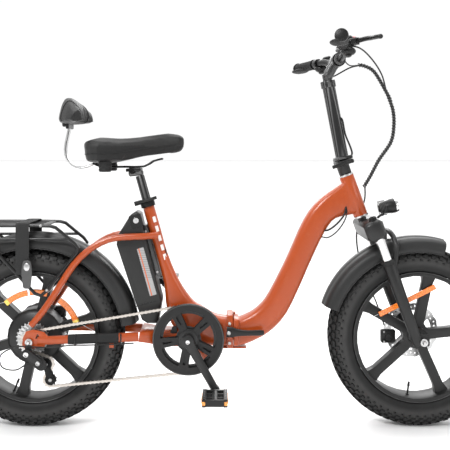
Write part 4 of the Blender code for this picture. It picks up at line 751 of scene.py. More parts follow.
def bolt(name, at, axis, radius, body, material=STEEL, turned_bar=False):
    """A round-headed bolt with a hex socket; the axis points out of the head."""
    axis = Vector(axis).normalized()
    at = Vector(at)
    height = radius * 0.75
    profile = [
        (0, 0.25 * height),
        (radius * 0.48, 0.25 * height),
        (radius * 0.52, 0.96 * height),
        (radius * 0.72, height),
        (radius * 0.96, 0.70 * height),
        (radius, 0.10 * height),
        (radius, -0.4 * height),
        (0, -0.4 * height),
    ]
    head = Shape().turned(profile, at, axis, 24)
    head.piece(name, material, body, smooth=35, turned_bar=turned_bar)


# ---------------------------------------------------------------- tyres and wheels


def casing_profile():
    """Half widths of the casing at growing distances from the axle, and back down the other side."""
    half = [
        (0.2080, 0.0352),
        (0.2120, 0.0410),
        (0.2200, 0.0450),
        (0.2320, 0.0475),
        (0.2440, 0.0480),
        (0.2540, 0.0463),
        (0.2620, 0.0425),
        (0.2690, 0.0358),
        (0.2735, 0.0280),
        (0.2757, 0.0185),
        (0.2765, 0.0080),
    ]
    return half + [(r, -y) for r, y in half[::-1]]


KNOBS_ROUND = 64
KNOB_HEIGHT = 0.0084
KNOB_ROWS = (
    (0.0092, 0.2794, 4, 0.0120, 0.0180, 0.0),
    (0.0245, 0.2772, 15, 0.0125, 0.0160, 0.5),
    (0.0375, 0.2692, 40, 0.0110, 0.0190, 0.0),
    (0.0452, 0.2592, 64, 0.0105, 0.0125, 0.5),
    (0.0485, 0.2480, 84, 0.0060, 0.0060, 0.0),
)


def tyre(label, axle, body):
    """A fat tyre: a smooth casing with five rows of tread blocks on each side."""
    wall = Shape().turned(casing_profile(), axle, LEFT, 144)
    wall = wall.piece(f"{label}_tyre_casing", SIDEWALL, body, smooth=60)
    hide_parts(f"{label}_tyre")
    knobs = Shape()
    for index in range(KNOBS_ROUND):
        for side in (-1, 1):
            for across, radius, tilt, wide, long, phase in KNOB_ROWS:
                angle = TAU * (index + phase + 0.25 * side) / KNOBS_ROUND
                out = Vector((math.cos(angle), 0, math.sin(angle)))
                along = Vector((-math.sin(angle), 0, math.cos(angle)))
                lean = math.radians(tilt) * side
                face = out * math.cos(lean) + LEFT * math.sin(lean)
                turn = Matrix((face, face.cross(along), along)).transposed()
                spot = axle + out * radius + LEFT * across * side
                knobs.box((KNOB_HEIGHT, wide, long), spot, turn)
    tread = knobs.piece(f"{label}_tyre_knobs", TREAD, body, bevel=0.0008, segments=1)


tyre("rear", REAR_AXLE, "rear_wheel")
tyre("front", FRONT_AXLE, "front_wheel")


def on_wheel(axle, radius, degrees, across=0.0):
    """A place round an axle; degrees run from the front, up."""
    angle = math.radians(degrees)
    return axle + Vector((radius * math.cos(angle), across, radius * math.sin(angle)))


def arc_reflector(name, radius, first, last, material):
    """A curved reflector bar on the near side of the rear wheel's spokes."""
    profile = [(radius - 0.0095, -0.0215), (radius - 0.0080, -0.0250), (radius + 0.0080, -0.0250)]
    profile += [(radius + 0.0095, -0.0215), (radius + 0.0095, -0.0165), (radius - 0.0095, -0.0165)]
    span = math.radians(last - first)
    bar = Shape().turned(profile, REAR_AXLE, LEFT, 12, span=span, start=math.radians(first))
    bar.piece(name, material, "rear_wheel", smooth=30)


arc_reflector("rear_reflector_back", 0.140, 100, 127, WHEEL_AMBER)
arc_reflector("rear_reflector_middle", 0.140, 74, 97, WHEEL_AMBER)
arc_reflector("rear_reflector_front", 0.138, 22, 56, WHEEL_AMBER)
arc_reflector("rear_reflector_back_tip", 0.140, 127, 132, YELLOW)
arc_reflector("rear_reflector_front_tip", 0.138, 17, 22, YELLOW)
front_bar = turn_about("Y", -26.5)
Shape().box((0.200, 0.006, 0.017), (0.579, -0.0195, 0.3978), front_bar).piece(
    "front_reflector", WHEEL_AMBER, "front_wheel", bevel=0.002
)
for label, axle, wires in (
    ("rear", REAR_AXLE, ((0.140, 128, 0.185, 150), (0.140, 75, 0.190, 66), (0.138, 20, 0.188, 4))),
    ("front", FRONT_AXLE, ((0.142, 151, 0.190, 168), (0.170, 69, 0.192, 52))),
):
    loop = Shape()
    for near, start, far, end in wires:
        loop.rod(on_wheel(axle, near, start, -0.018), on_wheel(axle, far, end, -0.012), 0.0009, 8)
    loop.piece(f"{label}_reflector_wires", STEEL, f"{label}_wheel")
for label, axle, degrees in (("rear", REAR_AXLE, 248), ("front", FRONT_AXLE, 262)):
    stem = Shape().rod(on_wheel(axle, 0.198, degrees), on_wheel(axle, 0.166, degrees), 0.0030, 16)
    stem.rod(on_wheel(axle, 0.168, degrees), on_wheel(axle, 0.154, degrees), 0.0042, 12, far=0.0034)
    stem.rod(on_wheel(axle, 0.196, degrees), on_wheel(axle, 0.1925, degrees), 0.0062, 6)
    stem.piece(f"{label}_valve", PLASTIC, f"{label}_wheel", smooth=30)
rim_lip = [(0.2046, 0.0388), (0.2052, 0.0402), (0.2066, 0.0406), (0.2076, 0.0398), (0.2076, 0.0380)]
for label, axle in WHEELS:
    edges = Shape()
    for sign in (-1, 1):
        edges.turned([(r, sign * y) for r, y in rim_lip], axle, LEFT, 120)
    edges.piece(f"{label}_rim_edges", GREY, f"{label}_wheel", smooth=60)


# ---------------------------------------------------------------- fenders


SHELL_WALL = 0.0022
EDGE_DROP = 0.046
EDGE_ACROSS = 0.0565


def fender(name, axle, radius, first, last, body):
    """A smooth arched shell with a rolled edge and a raised middle rib."""
    outer = [
        (-0.0460, 0.0570),
        (-0.0340, 0.0575),
        (-0.0240, 0.0566),
        (-0.0150, 0.0530),
        (-0.0085, 0.0470),
        (-0.0040, 0.0375),
        (-0.0018, 0.0260),
        (-0.0008, 0.0140),
        (0.0012, 0.0110),
        (0.0016, 0.0),
    ]
    outer += [(r, -y) for r, y in outer[-2::-1]]
    inner = [(r - SHELL_WALL, y * 0.955) for r, y in outer[::-1]]
    profile = [(radius + r, y) for r, y in outer + inner]
    span = math.radians(last - first)
    shell = Shape().turned(profile, axle, LEFT, 90, span=span, start=math.radians(first))
    shell = shell.piece(f"{name}_shell", FENDER, body, smooth=50)
    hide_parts(name)
    lip = Shape()
    for side in (-1, 1):
        edge = [
            on_wheel(axle, radius - EDGE_DROP, first + (last - first) * step / 60, side * EDGE_ACROSS)
            for step in range(61)
        ]
        lip.tube(edge, 0.0019, 10)
    lip.piece(f"{name}_rolled_edges", FENDER, body)


fender("rear_fender", REAR_AXLE, 0.3310, 8, 149, "rear_frame")
fender("front_fender", FRONT_AXLE, 0.3185, 74, 161.5, "fork")


# ---------------------------------------------------------------- drive


def around(centre, radius, angle):
    """A place round a centre, as points along and up."""
    return centre.x + radius * math.cos(angle), centre.z + radius * math.sin(angle)


def toothed(teeth, tip, root, centre):
    """The outline of a cog as points across and up."""
    outline = []
    for index in range(teeth):
        for share, radius in ((0.0, root), (0.30, root), (0.45, tip), (0.60, tip), (0.80, root)):
            angle = TAU * (index + share) / teeth
            outline.append(around(centre, radius, angle))
    return outline


def circle(centre, radius, steps):
    """The outline of a round rim or hole."""
    return [around(centre, radius, TAU * step / steps) for step in range(steps)]


def plate(name, loops, across, thickness, material, body, edge=0.0004, replaced=None):
    """A flat plate upright in the bicycle's length; the first loop is its rim, the others holes."""
    curve = bpy.data.curves.new(name, "CURVE")
    curve.dimensions = "2D"
    curve.fill_mode = "BOTH"
    curve.extrude = thickness / 2 - edge
    curve.bevel_depth = edge
    curve.bevel_resolution = 1
    curve.offset = -edge
    for loop in loops:
        spline = curve.splines.new("POLY")
        spline.points.add(len(loop) - 1)
        for point, (x, z) in zip(spline.points, loop):
            point.co = (x, z, 0, 1)
        spline.use_cyclic_u = True
    flat = bpy.data.objects.new(name + "_flat", curve)
    mesh = bpy.data.meshes.new_from_object(flat)
    bpy.data.objects.remove(flat)
    mesh.transform(Matrix(((1, 0, 0, 0), (0, 0, -1, across), (0, 1, 0, 0), (0, 0, 0, 1))))
    mesh.materials.clear()
    mesh.materials.append(material)
    mesh.shade_smooth()
    mesh.set_sharp_from_angle(angle=math.radians(35))
    obj = bpy.data.objects.new(name, mesh)
    bpy.context.scene.collection.objects.link(obj)
    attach(obj, body)
    if replaced:
        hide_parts(replaced)


def windows(centre, count, first, half, inner, outer, corner):
    """Rounded windows round a centre."""
    made = []
    for index in range(count):
        middle = math.radians(first + 360 / count * index)
        wide = [middle + math.radians(half) * (step / 4 - 1) for step in range(9)]
        narrow = [middle + math.radians(half * 0.62) * (1 - step / 3) for step in range(7)]
        shape = [around(centre, outer, a) for a in wide] + [around(centre, inner, a) for a in narrow]
        made.append(round_outline(shape, corner, 4))
    return made


SCALLOPS = 18


def rotor(label, axle, across, body):
    """A vented brake disc with a scalloped rim."""
    rim = []
    for step in range(SCALLOPS * 12):
        angle = TAU * step / (SCALLOPS * 12)
        rim.append(around(axle, 0.0890 + 0.0012 * math.cos(SCALLOPS * angle), angle))
    holes = [circle(axle, 0.0270, 48), *windows(axle, 6, 12, 22, 0.036, 0.066, 0.005)]
    for index in range(36):
        angle = TAU * index / 36
        radius = 0.0775 + 0.0026 * (index % 3 - 1)
        spot = axle + Vector((radius * math.cos(angle), 0, radius * math.sin(angle)))
        holes.append(circle(spot, 0.0024, 12))
    plate(
        f"{label}_disc",
        [rim, *holes],
        across,
        0.0020,
        STEEL,
        body,
        edge=0.0002,
        replaced=f"{label}_rotor",
    )
    for index in range(6):
        angle = TAU * index / 6 + 0.9
        spot = axle + Vector((0.031 * math.cos(angle), across + 0.001, 0.031 * math.sin(angle)))
        bolt(f"{label}_disc_bolt_{index + 1}", spot, LEFT, 0.0038, body)


rotor("rear", REAR_AXLE, 0.0650, "rear_wheel")
rotor("front", FRONT_AXLE, 0.0600, "front_wheel")
for label, middle, body in (
    ("rear", REAR_AXLE + Vector((0.060, 0.065, 0.060)), "rear_frame"),
    ("front", FRONT_AXLE + Vector((-0.076, 0.0605, -0.020)), "fork_lowers"),
):
    for side, sign in (("inner", -1), ("outer", 1)):
        face = middle + LEFT * sign * 0.0115
        cap = [(0, 0.0050), (0.0095, 0.0050), (0.0115, 0.0030), (0.0120, -0.002), (0, -0.002)]
        Shape().turned(cap, face, LEFT * sign, 40).piece(
            f"{label}_piston_cap_{side}", FORGED, body, smooth=30
        )
    for index, height in enumerate((-0.0155, 0.0155)):
        spot = middle + Vector((-0.0150, -0.0115, height))
        bolt(f"{label}_caliper_bolt_{index + 1}", spot, -LEFT, 0.0034, body)


CHAIN_PITCH = 0.0127
COGS = 7
LARGEST_COG = 0.0520
COG_STEP = 0.00475
FIRST_COG_LINE = -0.0493
COG_SPACING = 0.0044
for index in range(COGS):
    cog_radius = LARGEST_COG - COG_STEP * index
    cog_teeth = round(TAU * cog_radius / CHAIN_PITCH)
    plate(
        f"cog_{index + 1}",
        [toothed(cog_teeth, cog_radius + 0.0012, cog_radius - 0.0035, REAR_AXLE)],
        FIRST_COG_LINE - COG_SPACING * index,
        0.0022,
        COG_STEEL,
        "cassette",
        edge=0.0003,
        replaced="cassette" if index == 0 else None,
    )
hub_cap = [(0, 0.0014), (0.010, 0.0014), (0.0175, 0.0010), (0.019, -0.001), (0.019, -0.034), (0, -0.034)]
Shape().turned(hub_cap, REAR_AXLE + Vector((0, -0.0776, 0)), -LEFT, 40).piece(
    "cassette_lockring", STEEL, "cassette", smooth=30
)

dress("chainring", FORGED, 0)
ring_rim = toothed(50, 0.1035, 0.0985, BRACKET)
RING_LINE = -0.060
plate("ring_teeth", [ring_rim, circle(BRACKET, 0.0950, 120)], RING_LINE, 0.0026, COG_STEEL, "crank")
plate(
    "chain_guard_plate",
    [
        circle(BRACKET, 0.1125, 144),
        circle(BRACKET, 0.0100, 40),
        *windows(BRACKET, 5, 80, 25.5, 0.034, 0.0880, 0.010),
        *windows(BRACKET, 5, 116, 3.2, 0.052, 0.0800, 0.003),
    ],
    -0.069,
    0.0040,
    PLASTIC,
    "crank",
    edge=0.0007,
    replaced="chain_guard",
)
# Painted highlight: a grey ring on the guard's black rim, where the rim catches the light.
highlight_ring_profile = [(0.1075, 0.0), (0.1082, 0.0013), (0.1096, 0.0018), (0.1112, 0.0013), (0.1118, 0.0)]
Shape().turned([*highlight_ring_profile, (0.1095, -0.002)], BRACKET + Vector((0, -0.071, 0)), -LEFT, 120).piece(
    "chain_guard_highlight_ring", GREY, "crank", smooth=40
)
spider = [(0.0100, 0.0), (0.0100, 0.0024), (0.0270, 0.0024), (0.0300, 0.0016), (0.0306, 0.0)]
Shape().turned(spider, BRACKET + Vector((0, -0.0710, 0)), -LEFT, 60).piece(
    "guard_boss", FORGED, "crank", smooth=30
)
for side, sign in SIDES:
    outward = LEFT * sign
    bolt(f"{side}_crank_bolt", BRACKET + outward * 0.0985, outward, 0.0070, "crank", CHROME)
for side, sign in SIDES:
    cup = [(0.0205, 0.0), (0.0215, 0.003), (0.0215, 0.008), (0.0175, 0.0105), (0.0100, 0.0105)]
    Shape().turned([*cup, (0.0100, 0.0)], BRACKET + LEFT * sign * 0.0345, LEFT * sign, 48).piece(
        f"{side}_bearing_cup", DARK_ALLOY, "rear_frame", smooth=30
    )


def tangent(first, first_radius, second, second_radius, side):
    """Where the chain leaves one wheel and meets the next."""
    line = second - first
    turn = math.acos((first_radius - second_radius) / line.length)
    angle = math.atan2(line.y, line.x) + side * turn
    out = Vector((math.cos(angle), math.sin(angle)))
    return first + out * first_radius, second + out * second_radius


def crossing(first, first_radius, second, second_radius, side):
    """Where the chain crosses over from one wheel to the other."""
    line = second - first
    turn = math.acos((first_radius + second_radius) / line.length)
    angle = math.atan2(line.y, line.x) + side * turn
    out = Vector((math.cos(angle), math.sin(angle)))
    return first + out * first_radius, second - out * second_radius


def arc(centre, radius, start, end, count):
    """Points round a wheel from one direction to another."""
    begin = math.atan2(start.y - centre.y, start.x - centre.x)
    finish = math.atan2(end.y - centre.y, end.x - centre.x)
    while finish < begin:
        finish += TAU
    return [
        centre + Vector((math.cos(a), math.sin(a))) * radius
        for a in (begin + (finish - begin) * step / count for step in range(count + 1))
    ]


JOCKEY_LINE = -0.0755
SMALL_COG_LINE = -0.0775
UPPER_JOCKEY = Vector((-0.561, JOCKEY_LINE, 0.2120))
LOWER_JOCKEY = Vector((-0.548, JOCKEY_LINE, 0.1637))


def chain_route():
    """The chain's loop round the ring, the small cog and the two jockey wheels."""
    ring = Vector((BRACKET.x, BRACKET.z))
    cog = Vector((REAR_AXLE.x, REAR_AXLE.z))
    upper = Vector((UPPER_JOCKEY.x, UPPER_JOCKEY.z))
    lower = Vector((LOWER_JOCKEY.x, LOWER_JOCKEY.z))
    over_ring, over_cog, over_jockey = 0.1051, 0.0281, 0.0221
    ring_top, cog_top = tangent(ring, over_ring, cog, over_cog, -1)
    ring_low, jockey_low = tangent(ring, over_ring, lower, over_jockey, 1)
    cog_side, upper_side = crossing(cog, over_cog, upper, over_jockey, -1)
    upper_foot, lower_side = crossing(upper, over_jockey, lower, over_jockey, 1)
    flat = [(p, RING_LINE) for p in arc(ring, over_ring, ring_low, ring_top, 80)]
    flat += [(p, SMALL_COG_LINE) for p in arc(cog, over_cog, cog_top, cog_side, 24)]
    flat += [(p, JOCKEY_LINE) for p in arc(upper, over_jockey, upper_foot, upper_side, 16)[::-1]]
    flat += [(p, JOCKEY_LINE) for p in arc(lower, over_jockey, lower_side, jockey_low, 20)]
    return [Vector((p.x, across, p.y)) for p, across in flat]


def chain():
    """Every link of the chain: a pair of side plates, a roller and a pin."""
    links = Shape()
    half_plate = 0.00045
    pins = spread_evenly(chain_route(), CHAIN_PITCH, closed=True)
    for index, (spot, _) in enumerate(pins):
        ahead = pins[(index + 1) % len(pins)][0]
        along = (ahead - spot).normalized()
        side = (LEFT - along * along.dot(LEFT)).normalized()
        turn = Matrix((along, side, along.cross(side))).transposed()
        reach = 0.0034 if index % 2 else 0.0024
        for sign in (-1, 1):
            middle = (spot + ahead) / 2 + side * sign * reach
            links.box(((ahead - spot).length, 0.0010, 0.0064), middle, turn)
            outward = side * sign
            for end in (spot, ahead):
                near_face = end + outward * (reach - half_plate)
                far_face = end + outward * (reach + half_plate)
                links.rod(near_face, far_face, 0.0045, 14)
        links.rod(spot - side * 0.0021, spot + side * 0.0021, 0.0037, 12)
        links.rod(spot - side * 0.0044, spot + side * 0.0044, 0.0016, 10)
    made = links.piece("chain_links", CHAIN_STEEL, "rear_frame", smooth=35)
    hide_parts("chain")


chain()
for label, jockey in (("upper", UPPER_JOCKEY), ("lower", LOWER_JOCKEY)):
    plate(
        f"{label}_jockey_teeth",
        [toothed(11, 0.0205, 0.0165, jockey), circle(jockey, 0.006, 24)],
        jockey.y,
        0.0022,
        PLASTIC,
        "derailleur_cage",
        edge=0.0003,
    )
    bolt(f"{label}_jockey_bolt", jockey + Vector((0, -0.0079, 0)), -LEFT, 0.0052, "derailleur_cage")
for name, ends, radius, across in (
    ("derailleur_outer_link", ((-0.615, 0.2514), (-0.579, 0.2240)), 0.0150, -0.1085),
    ("derailleur_knuckle_cover", ((-0.579, 0.2240), (-0.570, 0.2170)), 0.0175, -0.1060),
):
    start, end = (Vector((x, 0, z)) for x, z in ends)
    heading = math.atan2(end.z - start.z, end.x - start.x)
    outline = []
    for spot, base in ((end, heading), (start, heading + math.pi)):
        for step in range(13):
            angle = base - math.pi / 2 + math.pi * step / 12
            outline.append(around(spot, radius, angle))
    plate(name, [outline], across, 0.0060, PLASTIC, "rear_frame", edge=0.0012)
bolt("hanger_bolt", (-0.615, -0.1125, 0.2514), -LEFT, 0.0085, "rear_frame", CHROME)
bolt("cage_pivot_bolt", (-0.579, -0.1125, 0.2240), -LEFT, 0.0070, "rear_frame", STEEL)


BAR_REACH = 0.0315


def pedal(side, tip, sign):
    """A caged pedal: barrel, side bars, ribs, pins and an amber reflector at each end."""
    middle = Vector((tip[0], sign * 0.172, tip[1]))
    cage = Shape()
    for x in (-BAR_REACH, BAR_REACH):
        cage.box((0.0120, 0.098, 0.0230), middle + Vector((x, 0, 0)))
    for across in (-0.0435, 0.0435):
        cage.box((0.0640, 0.0110, 0.0200), middle + Vector((0, across, 0)))
    for across in (-0.018, 0.018):
        cage.box((0.0560, 0.0060, 0.0150), middle + Vector((0, across, 0)))
    body = cage.piece(f"{side}_pedal_cage", PLASTIC, f"{side}_pedal", bevel=0.0022, segments=3)
    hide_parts(f"{side}_pedal")
    barrel = Shape().rod(middle - LEFT * 0.046, middle + LEFT * 0.046, 0.0100, 32)
    barrel.piece(f"{side}_pedal_barrel", PLASTIC, f"{side}_pedal", smooth=30)
    studs = Shape()
    for x in (-BAR_REACH, BAR_REACH):
        for step in range(5):
            spot = middle + Vector((x, -0.036 + 0.018 * step, 0))
            studs.rod(spot - UP * 0.0128, spot + UP * 0.0128, 0.0017, 10)
    studs.piece(f"{side}_pedal_pins", STEEL, f"{side}_pedal", smooth=30)
    lights = Shape()
    for x in (-0.0382, 0.0382):
        lights.box((0.0036, 0.056, 0.0140), middle + Vector((x, 0, 0)))
        lights.box((0.0100, 0.0030, 0.0110), middle + Vector((x * 0.86, sign * 0.0492, 0)))
    lights.piece(f"{side}_pedal_reflectors", AMBER, f"{side}_pedal", bevel=0.0008)


pedal("right", (-0.034, 0.13878), -1)
pedal("left", (-0.204, 0.43322), 1)


# ---------------------------------------------------------------- saddle and backrest


VOXEL = 0.005
FILLING_FRAMES = 20


def stuffed(node, name, material, inset, give, form):
    """A padded cover: the frame's form drawn in a little, then filled until the cover is tight."""
    cover = bpy.data.objects.new(name, nodes[node].data.copy())
    bpy.context.scene.collection.objects.link(cover)
    even = cover.modifiers.new("even", "REMESH")
    even.mode = "VOXEL"
    even.voxel_size = VOXEL
    draw_in = cover.modifiers.new("draw_in", "DISPLACE")
    draw_in.strength = -inset
    draw_in.mid_level = 0
    settle = cover.modifiers.new("settle", "SMOOTH")
    settle.iterations = 3
    apply_all(cover)
    for vertex in cover.data.vertices:
        vertex.co = form(vertex.co)
    start = [v.co.copy() for v in cover.data.vertices]
    cloth = cover.modifiers.new("filling", "CLOTH")
    cloth.settings.quality = 5
    cloth.settings.mass = 0.4
    cloth.settings.tension_stiffness = 25
    cloth.settings.compression_stiffness = 25
    cloth.settings.shear_stiffness = 10
    cloth.settings.bending_stiffness = 1.5
    cloth.settings.use_pressure = True
    cloth.settings.uniform_pressure_force = 4
    cloth.settings.effector_weights.gravity = 0
    cloth.point_cache.frame_start = 1
    cloth.point_cache.frame_end = FILLING_FRAMES
    for tick in range(1, FILLING_FRAMES + 1):
        bpy.context.scene.frame_set(tick)
    apply_all(cover)
    for vertex, before in zip(cover.data.vertices, start):
        moved = vertex.co - before
        if moved.length > give:
            vertex.co = before + moved * (give / moved.length)
    bpy.context.scene.frame_set(1)
    cover.data.materials.clear()
    cover.data.materials.append(material)
    cover.data.shade_smooth()
    fine = cover.modifiers.new("fine", "SUBSURF")
    fine.levels = 1
    fine.render_levels = 1
    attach(cover, "seat")
    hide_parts(node)
    return cover


def apply_all(obj):
    """Turns what the modifiers make into the object's own mesh."""
    graph = bpy.context.evaluated_depsgraph_get()
    made = bpy.data.meshes.new_from_object(obj.evaluated_get(graph))
    obj.modifiers.clear()
    obj.data = made


def ease(share):
    """Runs smoothly from 0 to 1 as the share does."""
    share = min(max(share, 0), 1)
    return share * share * (3 - 2 * share)


def saddle_form(spot):
    """Deepens the skirt, most of all at the back, and hollows the middle of the top a little."""
    middle = 0.886 + 0.022 * ease((spot.x + 0.42) / 0.27)
    below = ease((middle - spot.z) / 0.020)
    back = ease((-0.25 - spot.x) / 0.13)
    nose = ease((spot.x + 0.20) / 0.05)
    dip = 0.0035 * math.exp(-(((spot.x + 0.33) / 0.06) ** 2)) * (1 - below)
    return spot - UP * (below * (0.004 + 0.015 * back + 0.007 * nose) + dip)


PAD_HALF_WIDTH = 0.108
PAD_HEIGHT = 0.090
PAD_FOOT = 0.961


def pad_middle(side):
    """Where the curved pad's middle lies along the bicycle; side runs from -1 to 1 across it."""
    return -0.505 + 0.046 * side * side


def pad_form(spot):
    """Narrows the pad towards its top and lowers its two ends."""
    side = spot.y / PAD_HALF_WIDTH
    middle = pad_middle(side)
    rise = max(0, (spot.z - PAD_FOOT) / PAD_HEIGHT)
    height = PAD_FOOT + (spot.z - PAD_FOOT) * (1 - 0.46 * side * side)
    width = 1.10 - 0.52 * rise * rise - 0.16 * rise
    return Vector((middle + (spot.x - middle) * width, spot.y, height))


saddle = stuffed("saddle", "saddle_cover", HIDE, 0.0025, 0.006, saddle_form)
saddle.data.materials.append(PANEL)
for face in saddle.data.polygons:
    middle = face.center
    if abs(face.normal.y) > 0.55 and middle.z < 0.893 and middle.x > -0.40:
        face.material_index = 1
pad = stuffed("backrest_pad", "backrest_cover", HIDE, 0.0030, 0.010, pad_form)


PIPING = 0.0016


def seam(name, points, host):
    """Piping laid on the surface of a padded cover."""
    graph = bpy.context.evaluated_depsgraph_get()
    surface = host.evaluated_get(graph)
    line = []
    for point in curve_through(points, 10):
        hit, spot, normal, _ = surface.closest_point_on_mesh(point)
        if hit:
            line.append(spot + normal * PIPING * 0.2)
    piping = Shape().tube(line, PIPING, 8).piece(name, PANEL, "seat")


for side, sign in SIDES:
    line = [(-0.452, sign * 0.040, 0.866), (-0.43, sign * 0.100, 0.866), (-0.39, sign * 0.110, 0.866)]
    line += [(-0.34, sign * 0.096, 0.870), (-0.27, sign * 0.060, 0.880), (-0.20, sign * 0.034, 0.889)]
    line += [(-0.145, sign * 0.026, 0.899)]
    seam(f"{side}_saddle_seam", line, saddle)
for label, across in (("right", -0.066), ("left", 0.066)):
    line = [(-0.470, across, 0.966), (-0.455, across, 0.990), (-0.472, across, 1.015)]
    line += [(-0.487, across, 1.050), (-0.505, across, 1.030), (-0.522, across, 0.996)]
    line += [(-0.520, across, 0.966)]
    seam(f"pad_{label}_seam", line, pad)
line = [(pad_middle(s) + 0.030, PAD_HALF_WIDTH * s, 0.966) for s in (-0.96, -0.5, 0, 0.5, 0.96)]
seam("pad_foot_seam", line, pad)
for side, sign in SIDES:
    barrel = [(0, -0.019), (0.017, -0.019), (0.0205, -0.014), (0.0190, -0.008), (0.0212, -0.001)]
    barrel += [(0.0192, 0.006), (0.0205, 0.013), (0.0170, 0.019), (0, 0.019)]
    Shape().turned(barrel, (-0.381, sign * 0.060, 0.8300), UP, 40).piece(
        f"{side}_saddle_bumper", GRIP, "seat", smooth=30
    )
    bolt(f"{side}_pad_knob", (-0.516, sign * 0.026, 0.962), (-1, 0, 0), 0.0085, "seat", PLASTIC)
Shape().box((0.010, 0.078, 0.030), (-0.505, 0, 0.962)).piece(
    "pad_under_plate", PLASTIC, "seat", bevel=0.003
)
SADDLE_CLAMP = Vector((-0.300, 0, 0.8150))
clamp = Shape().rod(SADDLE_CLAMP - LEFT * 0.026, SADDLE_CLAMP + LEFT * 0.026, 0.0125, 32)
clamp.box((0.042, 0.050, 0.010), SADDLE_CLAMP)
clamp.piece("saddle_clamp", DARK_ALLOY, "seat", bevel=0.0015)
for side, sign in SIDES:
    spot = SADDLE_CLAMP + LEFT * sign * 0.0265
    bolt(f"{side}_saddle_clamp_nut", spot, LEFT * sign, 0.0060, "seat", DARK_ALLOY)


# ---------------------------------------------------------------- rack


STRAP_WIDTH = 0.042
STRAP_MIDDLE = -0.636
STRAP_STEPS = (-1.0, -0.94, -0.5, 0, 0.5, 0.94, 1.0)


def strap():
    """The webbing strap: up one side, over the deck and down the other, with soft shoulders."""
    route = [(-0.0791, 0.490), (-0.0792, 0.560), (-0.0790, 0.620), (-0.0775, 0.643), (-0.0700, 0.6510)]
    route += [(-0.035, 0.6514), (0, 0.6512)]
    route += [(-y, z) for y, z in route[-2::-1]]
    line = curve_through([(0, y, z) for y, z in route], 8)
    rings = []
    for index, spot in enumerate(line):
        before, after = line[max(index - 1, 0)], line[min(index + 1, len(line) - 1)]
        ahead = (after - before).normalized()
        out = Vector((1, 0, 0)).cross(ahead)
        wave = 0.0006 * math.sin(index * 0.9)
        ring = []
        for face, order in ((1, STRAP_STEPS), (-1, STRAP_STEPS[::-1])):
            for across in order:
                swell = 0.0007 * (1 - abs(across) ** 6) + 0.0002
                along = STRAP_MIDDLE + STRAP_WIDTH / 2 * across + wave * 0.2
                ring.append(spot + Vector((along, 0, 0)) + out * swell * face)
        rings.append(ring)
    made = Shape().skin(rings).piece("rack_webbing", WEBBING, "rear_frame", smooth=60)
    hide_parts("rack_strap")
    return made, sum((b - a).length for a, b in zip(line, line[1:]))


webbing_strap, strap_length = strap()
hook_outline = [(-0.609, 0.448), (-0.6035, 0.500), (-0.609, 0.536)]
hook_outline += [(-0.632, 0.536), (-0.6375, 0.500), (-0.632, 0.448)]
plate(
    "strap_hook_plate",
    [round_outline(hook_outline, 0.009)],
    -0.0838,
    0.0040,
    GREY_PLASTIC,
    "rear_frame",
    edge=0.0010,
)
Shape().ball((0.0095, 0.0030, 0.0125), (-0.6205, -0.0858, 0.5156)).piece(
    "strap_hook_badge", STEEL, "rear_frame"
)
for side, sign in SIDES:
    for index, (x, z) in enumerate(((-0.86, 0.643), (-0.58, 0.643), (-0.56, 0.4420))):
        bolt(f"{side}_rack_bolt_{index + 1}", (x, sign * 0.0775, z), LEFT * sign, 0.0042, "rear_frame")


# ---------------------------------------------------------------- battery


CASE_SIDE = -0.0424


def up_seat_tube(height):
    """The middle of the seat tube at a height."""
    return SEAT_TOP + SEAT_UP * ((height - SEAT_TOP.z) / SEAT_UP.z)


def leaning(centre, width, height, corner):
    """A rounded rectangle that leans with the seat tube, as points along and up."""
    made = []
    for u, v in ((-1, -1), (1, -1), (1, 1), (-1, 1)):
        spot = Vector((centre[0], 0, centre[1])) + SEAT_FORWARD * u * width / 2 + SEAT_UP * v * height / 2
        made.append((spot.x, spot.z))
    return round_outline(made, corner)


def case_plate(name, outline, thickness, material, sunk=0.0, edge=0.0002):
    """A thin plate on the near side of the battery."""
    plate(name, [outline], CASE_SIDE + sunk, thickness, material, "battery", edge=edge)


case_plate("battery_side_label", leaning((-0.2520, 0.494), 0.022, 0.155, 0.003), 0.0008, LABEL)
lock_outline = leaning((-0.2860, 0.654), 0.040, 0.044, 0.008)
case_plate("battery_lock_plate", lock_outline, 0.0016, PLASTIC, edge=0.0005)
seam_outline = leaning((-0.3090, 0.610), 0.070, 0.0022, 0.001)
case_plate("battery_seam", seam_outline, 0.0008, PLASTIC, sunk=0.0001)
band_outline = leaning((-0.2560, 0.392), 0.078, 0.0030, 0.001)
case_plate("battery_foot_band", band_outline, 0.0010, PLASTIC, sunk=0.0001)
KEY = Vector((-0.286, 0, 0.656))
key_ring = Shape().rod(KEY - LEFT * 0.0435, KEY - LEFT * 0.0462, 0.0088, 32)
key_ring.box((0.0016, 0.0030, 0.0100), KEY - LEFT * 0.0465)
key_ring.piece("battery_key_face", CHROME, "battery_lock", bevel=0.0004)
for index, height in enumerate((0.49, 0.62)):
    spot = up_seat_tube(height) + Vector((-0.028, -0.0255, 0))
    bolt(f"battery_rail_bolt_{index + 1}", spot, -LEFT, 0.0040, "rear_frame")


# ---------------------------------------------------------------- frame details


SEAT_TUBE_RADIUS = 0.0185
BAND_PROUD = 0.0006
BAND_STEPS = 14


